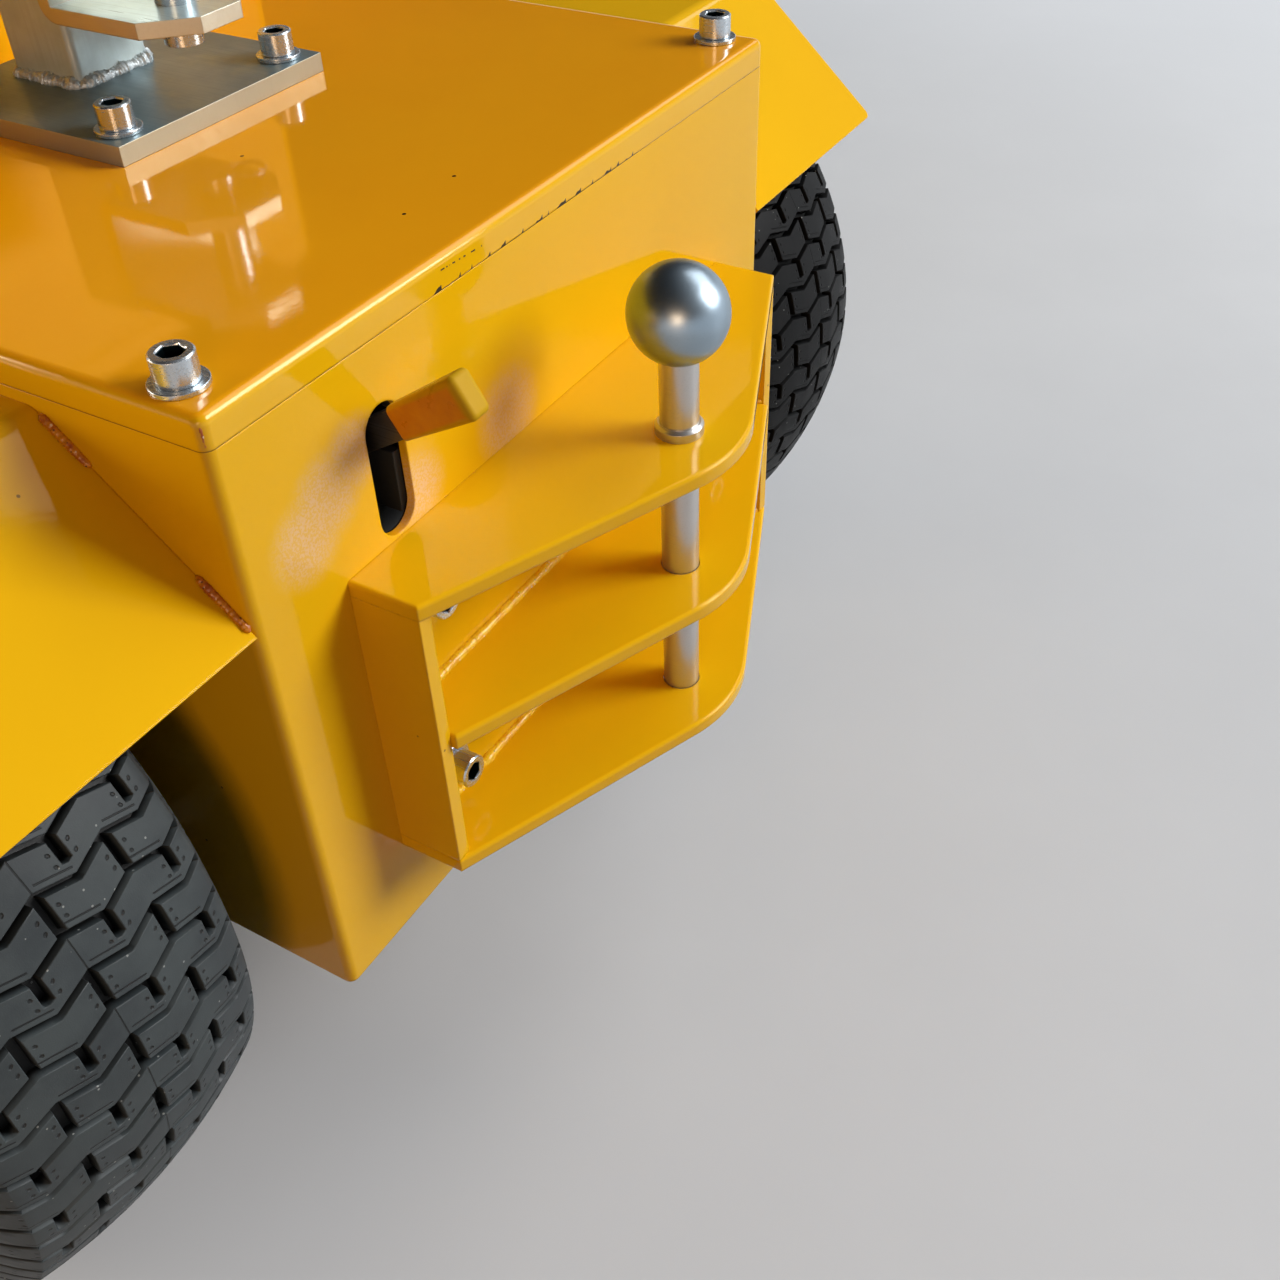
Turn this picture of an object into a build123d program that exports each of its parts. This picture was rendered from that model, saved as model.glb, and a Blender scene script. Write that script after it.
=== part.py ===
from build123d import *

import math
import os

# Walk-behind electric tow tractor, in millimetres.
# +X is forward, +Y is left, +Z is up. The origin is on the floor, below the middle of the whole machine.

# Overall places along the machine, measured forward from the outer face of the rear wall
DECK_LENGTH = 371.0
BODY_LENGTH = 900.0
WHEEL_AHEAD = 229.0
CASTER_AHEAD = 762.0
STEP_START = 590.0
STEP_END = 650.0

# Heights; the deck's own height follows from the tyre and the fender over it
HOUSING_TALL = 344.6
STEP_HEIGHT = 268.0
HOOD_HEIGHT = 205.0
SLOPE_DROP = 105.0

# Housing and deck lid
HOUSING_WIDTH = 460.0
WALL = 5.0
LID_PLATE = 4.0
LID_LIP = 15.0
RIM_FLANGE = 38.0
RIM_LEG = 40.0
FOOT_FLANGE = 30.0
HOUSING_EDGE = 5.0
LID_BEND = 4.5

# Drive wheels
TYRE_RADIUS = 229.0
TYRE_WIDTH = 165.0
TREAD_WIDTH = 136.3
SHOULDER_DROP = 9.8
BULGE_SHARE = 0.55
BEAD_WIDTH = 10.0
BEAD_CLEAR = 1.0
CARCASS = 26.0
WHEEL_SIDE = 346.6
RIM_RADIUS = 101.5
RIM_WIDTH = 130.0
RIM_SHEET = 4.0
RIM_FLANGE_RISE = 13.0
RIM_DROP = 16.0
RIM_RAMP = 12.0
BEAD_SEAT = 21.0
RIM_BORE = 32.0
STUD_HOLE = 13.0
STUD_RING = 56.0
STUDS = 6
HUB_FLANGE_RADIUS = 70.0
HUB_FLANGE = 9.0
HUB_BARREL = 34.0
HUB_NOSE = 31.5
SHAFT_RADIUS = 17.0
SHAFT_CLEAR = 0.06
SHAFT_REACH = 40.0
SHAFT_END_GAP = 20.0
AXLE_TUBE = 30.0
AXLE_FLANGE_RADIUS = 58.0
AXLE_FLANGE = 10.0
HUB_GAP = 6.0

# Drive unit
GEAR_CASE_RADIUS = 88.0
GEAR_CASE_WIDTH = 96.0
GEAR_CASE_ROUND = 10.0
GEAR_NECK_RADIUS = 45.0
GEAR_FLANGE_RADIUS = 62.0
GEAR_FLANGE = 12.0
GEAR_SNOUT_LENGTH = 66.0
MOTOR_RADIUS = 76.0
MOTOR_LENGTH = 190.0
MOTOR_CHAMFER = 7.0

# Fenders
FENDER_SHEET = 4.0
FENDER_CLEAR = 6.0
FENDER_TOP_BELOW_DECK = 21.0
FENDER_EDGE_BELOW_DECK = 104.0
FENDER_BEND_AHEAD = 95.0
FENDER_BEND_RADIUS = 12.0
FENDER_WIDTH = 177.0
FENDER_CORNER = 5.0

# Tow hitch on the rear wall
HITCH_WIDTH = 350.0
HITCH_BACK = 8.0
HITCH_CHEEK = 8.0
HITCH_CHEEK_DEPTH = 30.0
HITCH_PLATE = 8.0
HITCH_PITCH = 83.7
HITCH_TOP_BELOW_DECK = 113.6
HITCH_REACH = 109.2
HITCH_NOSE_RADIUS = 80.0
HITCH_SOFT = 2.0
HITCH_BOLT_SIDE = 136.0
HITCH_BOLT_UPPER = 150.0
HITCH_BOLT_LOWER = 259.0
BOLT_HOLE = 6.75
PIN_BEHIND = 70.3
PIN_RADIUS = 10.0
PIN_CLEAR = 0.4
PIN_TAIL = 11.0
PIN_POINT = 4.0
PIN_COLLAR_RADIUS = 12.5
PIN_COLLAR = 6.0
BALL_RADIUS = 25.0
BALL_ABOVE_PLATE = 64.7
BALL_FLAT = 11.0

# Release lever in its slot
SLOT_SIDE = 135.3
SLOT_WIDTH = 24.5
SLOT_TOP = 44.5
SLOT_BOTTOM = 112.0
LEVER_RISE = 32.0
LEVER_SLOT_CLEAR = 4.0
LEVER_THICK = 6.0
LEVER_TALL = 14.0
LEVER_OUT = 56.0
LEVER_IN = 66.0
LEVER_PIVOT_RADIUS = 8.0
LEVER_BOSS_RADIUS = 13.0
LEVER_EAR_SPAN = 26.0
GRIP_WALL = 1.5
GRIP_FLARE = 2.0
GRIP_ROUND = 3.0
GRIP_LENGTH = 47.0

# Clevis bracket on the deck
BASE_REAR = 196.0
BASE_SIZE = 150.0
BASE_PLATE = 10.0
BASE_BOLT_INSET = 16.0
POST_SIZE = 50.0
POST_WALL = 4.0
POST_REAR = 275.0
POST_TOP = 122.0
CLEVIS_WIDTH = 72.0
CLEVIS_PLATE = 8.0
CLEVIS_LOW = 46.5
CLEVIS_GAP = 48.0
CLEVIS_REACH = 88.5
CLEVIS_CHAMFER = 22.0
CLEVIS_BEND = 10.0
CLEVIS_PIN_BEHIND = 58.0
CLEVIS_PIN_RADIUS = 10.0
CLEVIS_PIN_BELOW = 12.0
CLEVIS_HEAD_RADIUS = 15.0
CLEVIS_HEAD = 8.0
RING_RADIUS = 10.0
RING_WIRE = 1.4
RING_HOLE = 1.6

# Hood over the batteries
HOOD_WIDTH = 440.0
HOOD_WALL = 3.0
HOOD_FLANGE = 26.0
HOOD_CORNER = 12.0
LID_TOP_LENGTH = 372.0
HOOD_LIP = 18.0
HOOD_GAP = 1.0
HINGE_RADIUS = 6.0
HINGE_PIN = 2.5
HINGE_CLEAR = 0.08
HINGE_LENGTH = 60.0
HINGE_SIDE = 130.0
LID_PULL_RADIUS = 5.0
LID_PULL_BEND = 12.5
LID_PULL_BACK = 60.0
LID_PULL_SPAN = 96.0
LID_PULL_STANDOFF = 26.0

# Battery block and its tray
BATTERY_LENGTH = 345.0
BATTERY_WIDTH = 340.0
BATTERY_HEIGHT = 225.0
BATTERY_CLEAR = 10.0
BATTERY_GROOVE = 4.0
BATTERY_GROOVE_FLOOR = 10.0
TRAY_SHEET = 4.0

# Casters
CASTER_SIDE = 162.0
CASTER_RADIUS = 100.0
CASTER_WIDTH = 46.0
CASTER_TRAIL = 42.0
CASTER_TREAD_ROUND = 8.0
CASTER_CORE_RADIUS = 70.0
CASTER_BAND = 8.0
CASTER_WEB = 10.0
CASTER_PLATE_LENGTH = 130.0
CASTER_PLATE_WIDTH = 108.0
CASTER_PLATE = 8.0
FORK_PLATE = 6.0
FORK_WIDTH = 78.0
FORK_CROWN_RADIUS = 44.0
FORK_FRONT = 35.0
FORK_EYE = 22.0
RACE_RADIUS = 36.0
RACE_HEIGHT = 12.0
RACE_GAP = 0.3
KING_RADIUS = 9.0
KING_CLEAR = 0.08
KING_GAP = 1.0
KING_NUT = 8.0
KING_NUT_RADIUS = 16.0
CASTER_AXLE_RADIUS = 7.5
CASTER_AXLE_CLEAR = 0.08
CASTER_NUT = 6.0
CASTER_NUT_RADIUS = 12.5
CASTER_HUB_RADIUS = 19.0
CASTER_SIDE_GAP = 1.5

# Tiller
TILLER_AHEAD = 46.0
TILLER_PIVOT_ABOVE_DECK = 34.0
TILLER_LEAN = 9.0
TILLER_LENGTH = 560.0
TILLER_TUBE_WIDTH = 60.0
TILLER_TUBE_DEPTH = 34.0
TILLER_TUBE_WALL = 3.0
TILLER_EAR = 8.0
TILLER_EAR_RADIUS = 27.0
TILLER_BOSS_RADIUS = 19.0
TILLER_PLATE_SIDE = 32.0
TILLER_PLATE_DROP = 81.0
TILLER_PIN_RADIUS = 9.0
TILLER_PIN_END = 5.0
TILLER_PIN_CLEAR = 0.08
TILLER_SIDE_GAP = 1.0
BUFFER_ABOVE_PIVOT = 38.0
BUFFER_HEIGHT = 16.0
BUFFER_WIDTH = 44.0
BUFFER_GAP = 0.3
HEAD_WIDTH = 150.0
HEAD_DEPTH = 58.0
HEAD_HEIGHT = 112.0
HEAD_OVERLAP = 30.0
HEAD_COLLAR = 6.0
HEAD_SHOULDER = 62.0
HEAD_CROWN_WIDTH = 120.0
HEAD_CROWN_DEPTH = 41.0
HEAD_ROUND = 14.0
BAR_START = 56.0
BAR_SOCKET = 24.0
BAR_RADIUS = 13.0
BAR_SPAN = 330.0
BAR_RISE = 120.0
BAR_BEND = 24.0
HAND_GRIP_RADIUS = 17.0

# Front bumper
BUMPER_HEIGHT = 74.0
BUMPER_DEPTH = 34.0
BUMPER_WIDTH = 400.0
BUMPER_WALL = 5.0
BUMPER_ROUND = 12.0
BUMPER_ABOVE_STEP = 42.0

# Controls on the hood's slope
STOP_BASE_RADIUS = 26.0
STOP_BASE = 9.0
STOP_GAP = 6.0
STOP_STEM_RADIUS = 12.0
STOP_HEAD_RADIUS = 20.0
STOP_HEAD = 20.0
STOP_ROUND = 7.0
STOP_SIDE = 132.0
PANEL_WIDTH = 128.0
PANEL_HEIGHT = 84.0
PANEL_THICK = 7.0
PANEL_CORNER = 8.0
PANEL_SIDE = 96.0
KEY_RADIUS = 11.0
KEY_HEIGHT = 12.0
KEY_SIDE = 32.0
METER_RADIUS = 24.0
METER_HEIGHT = 5.0
METER_SIDE = 28.0

# How far a cutting body stands out beyond what it cuts
CUT = 1.0

# Places that follow from the sizes above
DECK_HEIGHT = 2 * TYRE_RADIUS + FENDER_CLEAR + FENDER_SHEET + FENDER_TOP_BELOW_DECK
HOUSING_BOTTOM = DECK_HEIGHT - HOUSING_TALL
FRONT_REACH = BODY_LENGTH + TILLER_AHEAD + TILLER_EAR_RADIUS
NOSE_SLOPE = math.atan2(HITCH_REACH - HITCH_BACK - HITCH_CHEEK_DEPTH, HITCH_WIDTH / 2)
HITCH_NOSE = HITCH_REACH - HITCH_NOSE_RADIUS * (1 / math.cos(NOSE_SLOPE) - 1)
REAR_X = (HITCH_NOSE - FRONT_REACH) / 2
WHEEL_X = REAR_X + WHEEL_AHEAD
FRONT_X = REAR_X + BODY_LENGTH
HOOD_X = REAR_X + DECK_LENGTH
CASTER_X = REAR_X + CASTER_AHEAD
PIN_X = REAR_X - PIN_BEHIND
HALF = HOUSING_WIDTH / 2
LID_UNDER = DECK_HEIGHT - LID_PLATE
SEAM_HEIGHT = DECK_HEIGHT - LID_LIP
HITCH_TOP = DECK_HEIGHT - HITCH_TOP_BELOW_DECK
HOOD_TOP = DECK_HEIGHT + HOOD_HEIGHT
SLOPE_X = HOOD_X + LID_TOP_LENGTH
SLOPE_FOOT = HOOD_TOP - SLOPE_DROP
TILLER_X = FRONT_X + TILLER_AHEAD
TILLER_Z = DECK_HEIGHT + TILLER_PIVOT_ABOVE_DECK
HEAD_FOOT = TILLER_LENGTH - HEAD_OVERLAP
BAR_FOOT = HEAD_FOOT + BAR_START
SIDES = (("left", 1), ("right", -1))


def block(x0, x1, y0, y1, z0, z1):
    """A box between two corners."""
    centre = ((x0 + x1) / 2, (y0 + y1) / 2, (z0 + z1) / 2)
    return Pos(*centre) * Box(abs(x1 - x0), abs(y1 - y0), abs(z1 - z0))


def side_plate(points, y0, y1):
    """A plate with the outline of (x, z) points, from y0 to y1."""
    face = make_face(Polyline(*[(x, y0, z) for x, z in points], close=True))
    return extrude(face, y1 - y0, dir=(0, 1, 0))


def rod_x(y, z, x0, x1, radius):
    """A round bar along X."""
    return Pos((x0 + x1) / 2, y, z) * Rot(0, 90, 0) * Cylinder(radius, abs(x1 - x0))


def rod_y(x, z, y0, y1, radius):
    """A round bar along Y."""
    return Pos(x, (y0 + y1) / 2, z) * Rot(90, 0, 0) * Cylinder(radius, abs(y1 - y0))


def rod_z(x, y, z0, z1, radius):
    """A round bar along Z."""
    return Pos(x, y, (z0 + z1) / 2) * Cylinder(radius, abs(z1 - z0))


def turned(points, x, y, z, side=1):
    """A solid turned about a line along Y through (x, z), from points (offset along Y, radius)."""
    outline = make_face(Polyline(*[(x, y + side * along, z + r) for along, r in points], close=True))
    return revolve(outline, Axis((x, y, z), (0, 1, 0)), 360)


def chassis_housing():
    """Four walls and the flanges that stiffen and carry them, as one welded sheet part."""
    def outline(inset, top):
        return [(REAR_X + inset, HOUSING_BOTTOM), (REAR_X + inset, top), (FRONT_X - inset, top),
                (FRONT_X - inset, STEP_HEIGHT), (REAR_X + STEP_END, STEP_HEIGHT),
                (REAR_X + STEP_START, HOUSING_BOTTOM)]

    shell = side_plate(outline(0, SEAM_HEIGHT), -HALF, HALF)
    inner = side_plate([(REAR_X + WALL, HOUSING_BOTTOM - CUT), (REAR_X + WALL, SEAM_HEIGHT + CUT),
                        (FRONT_X - WALL, SEAM_HEIGHT + CUT), (FRONT_X - WALL, STEP_HEIGHT - CUT),
                        (REAR_X + STEP_END - WALL, STEP_HEIGHT - CUT),
                        (REAR_X + STEP_START - WALL, HOUSING_BOTTOM - CUT)],
                       WALL - HALF, HALF - WALL)
    shell = fillet(shell.edges().filter_by(Axis.Z), HOUSING_EDGE)
    shell -= inner
    rim = block(REAR_X + WALL, FRONT_X - WALL, WALL - HALF, HALF - WALL, SEAM_HEIGHT - RIM_LEG, LID_UNDER)
    rim -= block(REAR_X + 2 * WALL, FRONT_X - 2 * WALL, 2 * WALL - HALF, HALF - 2 * WALL,
                 0, LID_UNDER - WALL)
    rim -= block(REAR_X + WALL + RIM_FLANGE, HOOD_X - RIM_FLANGE / 2, WALL + RIM_FLANGE - HALF,
                 HALF - WALL - RIM_FLANGE, 0, DECK_HEIGHT)
    rim -= block(HOOD_X + RIM_FLANGE / 2, FRONT_X - WALL - RIM_FLANGE, WALL + RIM_FLANGE - HALF,
                 HALF - WALL - RIM_FLANGE, 0, DECK_HEIGHT)
    shell += rim
    for side in (1, -1):
        shell += block(REAR_X + STEP_END, FRONT_X - WALL, side * (HALF - WALL),
                       side * (HALF - WALL - CASTER_PLATE_WIDTH - FOOT_FLANGE),
                       STEP_HEIGHT, STEP_HEIGHT + WALL)
        shell -= rod_y(WHEEL_X, TYRE_RADIUS, side * (HALF - 2 * WALL), side * (HALF + WALL), AXLE_TUBE)
    slot_height = SLOT_BOTTOM - SLOT_TOP
    slot = extrude(SlotOverall(slot_height, SLOT_WIDTH), 4 * WALL, both=True)
    shell -= (Pos(REAR_X, SLOT_SIDE, DECK_HEIGHT - (SLOT_TOP + SLOT_BOTTOM) / 2)
              * Rot(0, 90, 0) * slot)
    return shell - hitch_bolt_holes()


def deck_lid():
    """Flat lid over the drive unit, with short lips folded down at the rear and at both sides."""
    lid = folded_top(REAR_X, HOOD_X, REAR_X)
    lid -= block(REAR_X + LID_PLATE, HOOD_X + CUT, LID_PLATE - HALF, HALF - LID_PLATE, 0, LID_UNDER)
    return lid - base_bolt_holes()


def folded_top(x0, x1, end):
    """Solid as tall as the lid and its lips, bent over with a radius along both sides and at one end."""
    top = block(x0, x1, -HALF, HALF, SEAM_HEIGHT, DECK_HEIGHT)
    corners = [e for e in top.edges().filter_by(Axis.Z) if abs(e.center().X - end) < CUT]
    top = fillet(corners, HOUSING_EDGE)
    other = x0 + x1 - end
    upper = [e for e in top.edges() if e.center().Z > DECK_HEIGHT - CUT and abs(e.center().X - other) > CUT]
    return fillet(upper, LID_BEND)


def hood_floor():
    """Plate that closes the housing's top under the hood, with the well that the batteries stand in."""
    floor = folded_top(HOOD_X, FRONT_X, FRONT_X)
    floor -= block(HOOD_X - CUT, FRONT_X - LID_PLATE, LID_PLATE - HALF, HALF - LID_PLATE, 0, LID_UNDER)
    return floor - battery_room(0, DECK_HEIGHT + CUT)


def battery_start():
    """Rear end of the battery block."""
    return HOOD_X + RIM_FLANGE + BATTERY_CLEAR


def battery_room(z0, z1):
    """The space that the battery block is lowered through."""
    x0 = battery_start() - BATTERY_CLEAR
    half = BATTERY_WIDTH / 2 + BATTERY_CLEAR
    return block(x0, x0 + BATTERY_LENGTH + 2 * BATTERY_CLEAR, -half, half, z0, z1)


def base_bolt_holes():
    """Clearance holes for the four screws that hold the bracket's base plate on the deck."""
    low = REAR_X + BASE_REAR + BASE_BOLT_INSET
    high = REAR_X + BASE_REAR + BASE_SIZE - BASE_BOLT_INSET
    y = BASE_SIZE / 2 - BASE_BOLT_INSET
    return [rod_z(x, s * y, LID_UNDER - CUT, DECK_HEIGHT + BASE_PLATE + CUT, BOLT_HOLE)
            for x in (low, high) for s in (1, -1)]


def hitch_bolt_holes():
    """Clearance holes for the four screws that hold the hitch on the rear wall."""
    return [rod_x(side * HITCH_BOLT_SIDE, DECK_HEIGHT - below,
                  REAR_X - HITCH_BACK - CUT, REAR_X + WALL + CUT, BOLT_HOLE)
            for below in (HITCH_BOLT_UPPER, HITCH_BOLT_LOWER) for side in (1, -1)]


def hitch_outline(half_width, edge, root):
    """Outline of a hitch plate: straight back edge, short sides, a V to the rear and a rounded nose."""
    shoulder = edge - HITCH_BACK - HITCH_CHEEK_DEPTH
    shoulder -= math.tan(NOSE_SLOPE) * (HITCH_WIDTH / 2 - half_width)
    outline = make_face(Polyline((root, -half_width), (shoulder, -half_width), (edge - HITCH_REACH, 0),
                                 (shoulder, half_width), (root, half_width), close=True))
    nose = outline.vertices().sort_by(Axis.X)[0]
    return fillet(nose, HITCH_NOSE_RADIUS)


def hitch_plate(row):
    """One of the three plates; the middle one fits between the cheeks, the others lie over their ends."""
    middle = row == 1
    half_width = HITCH_WIDTH / 2 - (HITCH_CHEEK if middle else 0)
    root = REAR_X - (HITCH_BACK if middle else 0)
    top = HITCH_TOP - row * HITCH_PITCH
    plate = Pos(0, 0, top - HITCH_PLATE) * extrude(hitch_outline(half_width, REAR_X, root), HITCH_PLATE)
    upper = [e for e in plate.edges() if e.center().Z > top - CUT and e.center().X < root - CUT]
    plate = fillet(upper, HITCH_SOFT)
    return plate - rod_z(PIN_X, 0, top - 2 * HITCH_PLATE, top + HITCH_PLATE, PIN_RADIUS + PIN_CLEAR)


def hitch_frame():
    """Back plate and two cheeks of the hitch, between the top and the bottom plate."""
    bottom = HITCH_TOP - 2 * HITCH_PITCH
    frame = block(REAR_X - HITCH_BACK, REAR_X, -HITCH_WIDTH / 2, HITCH_WIDTH / 2,
                  bottom, HITCH_TOP - HITCH_PLATE)
    for side in (1, -1):
        frame += block(REAR_X - HITCH_BACK - HITCH_CHEEK_DEPTH, REAR_X - HITCH_BACK,
                       side * (HITCH_WIDTH / 2 - HITCH_CHEEK), side * HITCH_WIDTH / 2,
                       bottom, HITCH_TOP - HITCH_PLATE)
    return frame - hitch_bolt_holes()


def tow_pin():
    """Drop pin with the collar that it hangs by."""
    low = HITCH_TOP - 2 * HITCH_PITCH - HITCH_PLATE - PIN_TAIL
    ball_z = HITCH_TOP + BALL_ABOVE_PLATE
    pin = rod_z(PIN_X, 0, low, ball_z - BALL_RADIUS + BALL_FLAT, PIN_RADIUS)
    pin = chamfer(pin.edges().sort_by(Axis.Z)[0], PIN_POINT)
    collar = rod_z(PIN_X, 0, HITCH_TOP, HITCH_TOP + PIN_COLLAR, PIN_COLLAR_RADIUS)
    collar = chamfer(collar.edges().filter_by(GeomType.CIRCLE).sort_by(Axis.Z)[-1], PIN_COLLAR / 4)
    return pin + collar


def tow_pin_ball():
    """Ball knob, bored to sit on the pin's top end."""
    ball_z = HITCH_TOP + BALL_ABOVE_PLATE
    ball = Pos(PIN_X, 0, ball_z) * Sphere(BALL_RADIUS)
    return ball - rod_z(PIN_X, 0, ball_z - 2 * BALL_RADIUS, ball_z - BALL_RADIUS + BALL_FLAT, PIN_RADIUS)


def lever_frame():
    """Place of the lever: its own X runs inwards along the bar, from the slot's mouth."""
    half_tall = LEVER_TALL / 2 / math.cos(math.radians(LEVER_RISE))
    z = DECK_HEIGHT - SLOT_TOP - LEVER_SLOT_CLEAR - half_tall
    return Pos(REAR_X, SLOT_SIDE, z) * Rot(0, LEVER_RISE, 0)


def release_lever():
    """Flat bar that comes out of the slot and turns on a boss inside."""
    bar = Pos((LEVER_IN - LEVER_OUT) / 2, 0, 0) * Box(LEVER_IN + LEVER_OUT, LEVER_THICK, LEVER_TALL)
    boss = Pos(LEVER_IN, 0, 0) * Rot(90, 0, 0) * Cylinder(LEVER_BOSS_RADIUS, LEVER_THICK)
    pivot = Pos(LEVER_IN, 0, 0) * Rot(90, 0, 0) * Cylinder(LEVER_PIVOT_RADIUS, LEVER_EAR_SPAN)
    return lever_frame() * (bar + boss + pivot)


def lever_grip():
    """Dipped vinyl grip over the bar, thicker towards its closed and rounded outer end."""
    def section(x, wall):
        place = Plane(origin=(x, 0, 0), x_dir=(0, 1, 0), z_dir=(-1, 0, 0))
        return place * RectangleRounded(LEVER_THICK + 2 * wall, LEVER_TALL + 2 * wall, GRIP_ROUND)

    end = -LEVER_OUT - GRIP_WALL - GRIP_FLARE
    grip = loft([section(end + GRIP_LENGTH, GRIP_WALL), section(end, GRIP_WALL + GRIP_FLARE)])
    grip = fillet(grip.faces().sort_by(Axis.X)[0].edges(), GRIP_ROUND)
    bore = Pos(-LEVER_OUT / 2, 0, 0) * Box(LEVER_OUT, LEVER_THICK, LEVER_TALL)
    return lever_frame() * (grip - bore)


def lever_bracket():
    """Two ears inside the rear wall that carry the lever's pivot."""
    pivot = lever_frame() * Pos(LEVER_IN, 0, 0)
    x = pivot.position.X
    z = pivot.position.Z
    outer = LEVER_EAR_SPAN / 2
    bracket = None
    for side in (1, -1):
        ear = block(REAR_X + WALL, x + 2 * LEVER_PIVOT_RADIUS, SLOT_SIDE + side * (outer - WALL),
                    SLOT_SIDE + side * outer, z - 2 * LEVER_PIVOT_RADIUS, z + 2 * LEVER_PIVOT_RADIUS)
        ear -= rod_y(x, z, SLOT_SIDE - outer, SLOT_SIDE + outer, LEVER_PIVOT_RADIUS)
        bracket = ear if bracket is None else bracket + ear
    return bracket


def fender(side):
    """Bent plate over the wheel: a slope at each end and a flat top, folded with a radius."""
    edge = DECK_HEIGHT - FENDER_EDGE_BELOW_DECK
    top = DECK_HEIGHT - FENDER_TOP_BELOW_DECK
    length = 2 * WHEEL_AHEAD
    slope = math.atan2(top - edge, FENDER_BEND_AHEAD)

    def line(depth):
        """The folded line at a depth below the sheet's outer face."""
        run = depth * math.sin(slope)
        low = edge - depth * math.cos(slope)
        bend = FENDER_BEND_AHEAD + depth * math.tan(slope / 2)
        return FilletPolyline((REAR_X + run, HALF, low), (REAR_X + bend, HALF, top - depth),
                              (REAR_X + length - bend, HALF, top - depth),
                              (REAR_X + length - run, HALF, low),
                              radius=FENDER_BEND_RADIUS - depth)

    outer = line(0)
    inner = line(FENDER_SHEET)
    ends = [Line(outer @ 0, inner @ 0), Line(outer @ 1, inner @ 1)]
    edges = outer.edges() + inner.edges() + ends[0].edges() + ends[1].edges()
    plate = extrude(make_face(Wire(edges)), FENDER_WIDTH, dir=(0, 1, 0))
    corners = [e for e in plate.edges() if e.length < FENDER_SHEET + CUT
               and e.center().Y > HALF + FENDER_WIDTH - CUT and e.center().Z < edge + CUT]
    plate = fillet(corners, FENDER_CORNER)
    if side < 0:
        plate = mirror(plate, Plane.XZ)
    return plate


def tyre(side):
    """Wide low-pressure tyre: beads, bulged side walls, rounded shoulders and a crowned tread."""
    half_bead = RIM_WIDTH / 2
    half_tread = TREAD_WIDTH / 2
    shoulder = TYRE_RADIUS - SHOULDER_DROP
    bulge = RIM_RADIUS + (shoulder - RIM_RADIUS) * BULGE_SHARE
    lip = RIM_RADIUS + RIM_FLANGE_RISE + BEAD_CLEAR
    centre = (WHEEL_X, side * WHEEL_SIDE, TYRE_RADIUS)

    def at(y, r):
        return (centre[0], centre[1] + y, centre[2] + r)

    tread = ThreePointArc(at(-half_tread, shoulder), at(0, TYRE_RADIUS), at(half_tread, shoulder))
    inner = ThreePointArc(at(half_bead - BEAD_WIDTH, RIM_RADIUS), at(0, TYRE_RADIUS - CARCASS),
                          at(BEAD_WIDTH - half_bead, RIM_RADIUS))
    edges = tread.edges() + inner.edges()
    for s in (1, -1):
        flank = ThreePointArc(at(s * half_tread, shoulder), at(s * TYRE_WIDTH / 2, bulge),
                              at(s * half_bead, lip))
        bead = Polyline(at(s * half_bead, lip), at(s * half_bead, RIM_RADIUS),
                        at(s * (half_bead - BEAD_WIDTH), RIM_RADIUS))
        edges += flank.edges() + bead.edges()
    return revolve(make_face(Wire(edges)), Axis(centre, (0, 1, 0)), 360)


def rim(side):
    """Pressed rim: flanges and bead seats, a drop centre and a dished disc with stud holes."""
    half = RIM_WIDTH / 2
    t = RIM_SHEET
    seat = RIM_RADIUS
    drop = RIM_RADIUS - RIM_DROP
    rise = RIM_RADIUS + RIM_FLANGE_RISE
    disc = HUB_FLANGE_RADIUS
    ledge = half - BEAD_SEAT
    well = ledge - RIM_RAMP
    points = [(-half - t, rise), (-half, rise), (-half, seat), (-ledge, seat), (-well, drop),
              (well, drop), (ledge, seat), (half, seat), (half, rise), (half + t, rise),
              (half + t, seat - t), (ledge - t / 2, seat - t), (well - t / 2, drop - t), (4 * t, drop - t),
              (2 * t, disc), (2 * t, RIM_BORE), (t, RIM_BORE), (t, disc), (2 * t, drop - t),
              (t / 2 - well, drop - t), (t / 2 - ledge, seat - t), (-half - t, seat - t)]
    y = side * WHEEL_SIDE
    wheel = turned(points, WHEEL_X, y, TYRE_RADIUS, side)
    for i in range(STUDS):
        angle = math.radians(360 * i / STUDS)
        x = WHEEL_X + math.cos(angle) * STUD_RING
        z = TYRE_RADIUS + math.sin(angle) * STUD_RING
        wheel -= rod_y(x, z, y - RIM_WIDTH, y + RIM_WIDTH, STUD_HOLE / 2)
    return wheel


def hub(side):
    """Hub with its flange against the rim's disc and the shaft stub that runs in the axle tube."""
    face = RIM_SHEET
    inner_end = -(WHEEL_SIDE - HALF - AXLE_FLANGE - HUB_GAP)
    tube_end = -(WHEEL_SIDE - HALF + SHAFT_REACH)
    shaft = SHAFT_RADIUS
    points = [(tube_end, 0), (tube_end, shaft), (inner_end, shaft), (inner_end, HUB_BARREL),
              (face - HUB_FLANGE, HUB_BARREL), (face - HUB_FLANGE, HUB_FLANGE_RADIUS),
              (face, HUB_FLANGE_RADIUS), (face, HUB_NOSE), (face + 3 * RIM_SHEET, HUB_NOSE),
              (face + 4 * RIM_SHEET, HUB_NOSE - RIM_SHEET), (face + 4 * RIM_SHEET, 0)]
    return turned(points, WHEEL_X, side * WHEEL_SIDE, TYRE_RADIUS, side)


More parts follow.
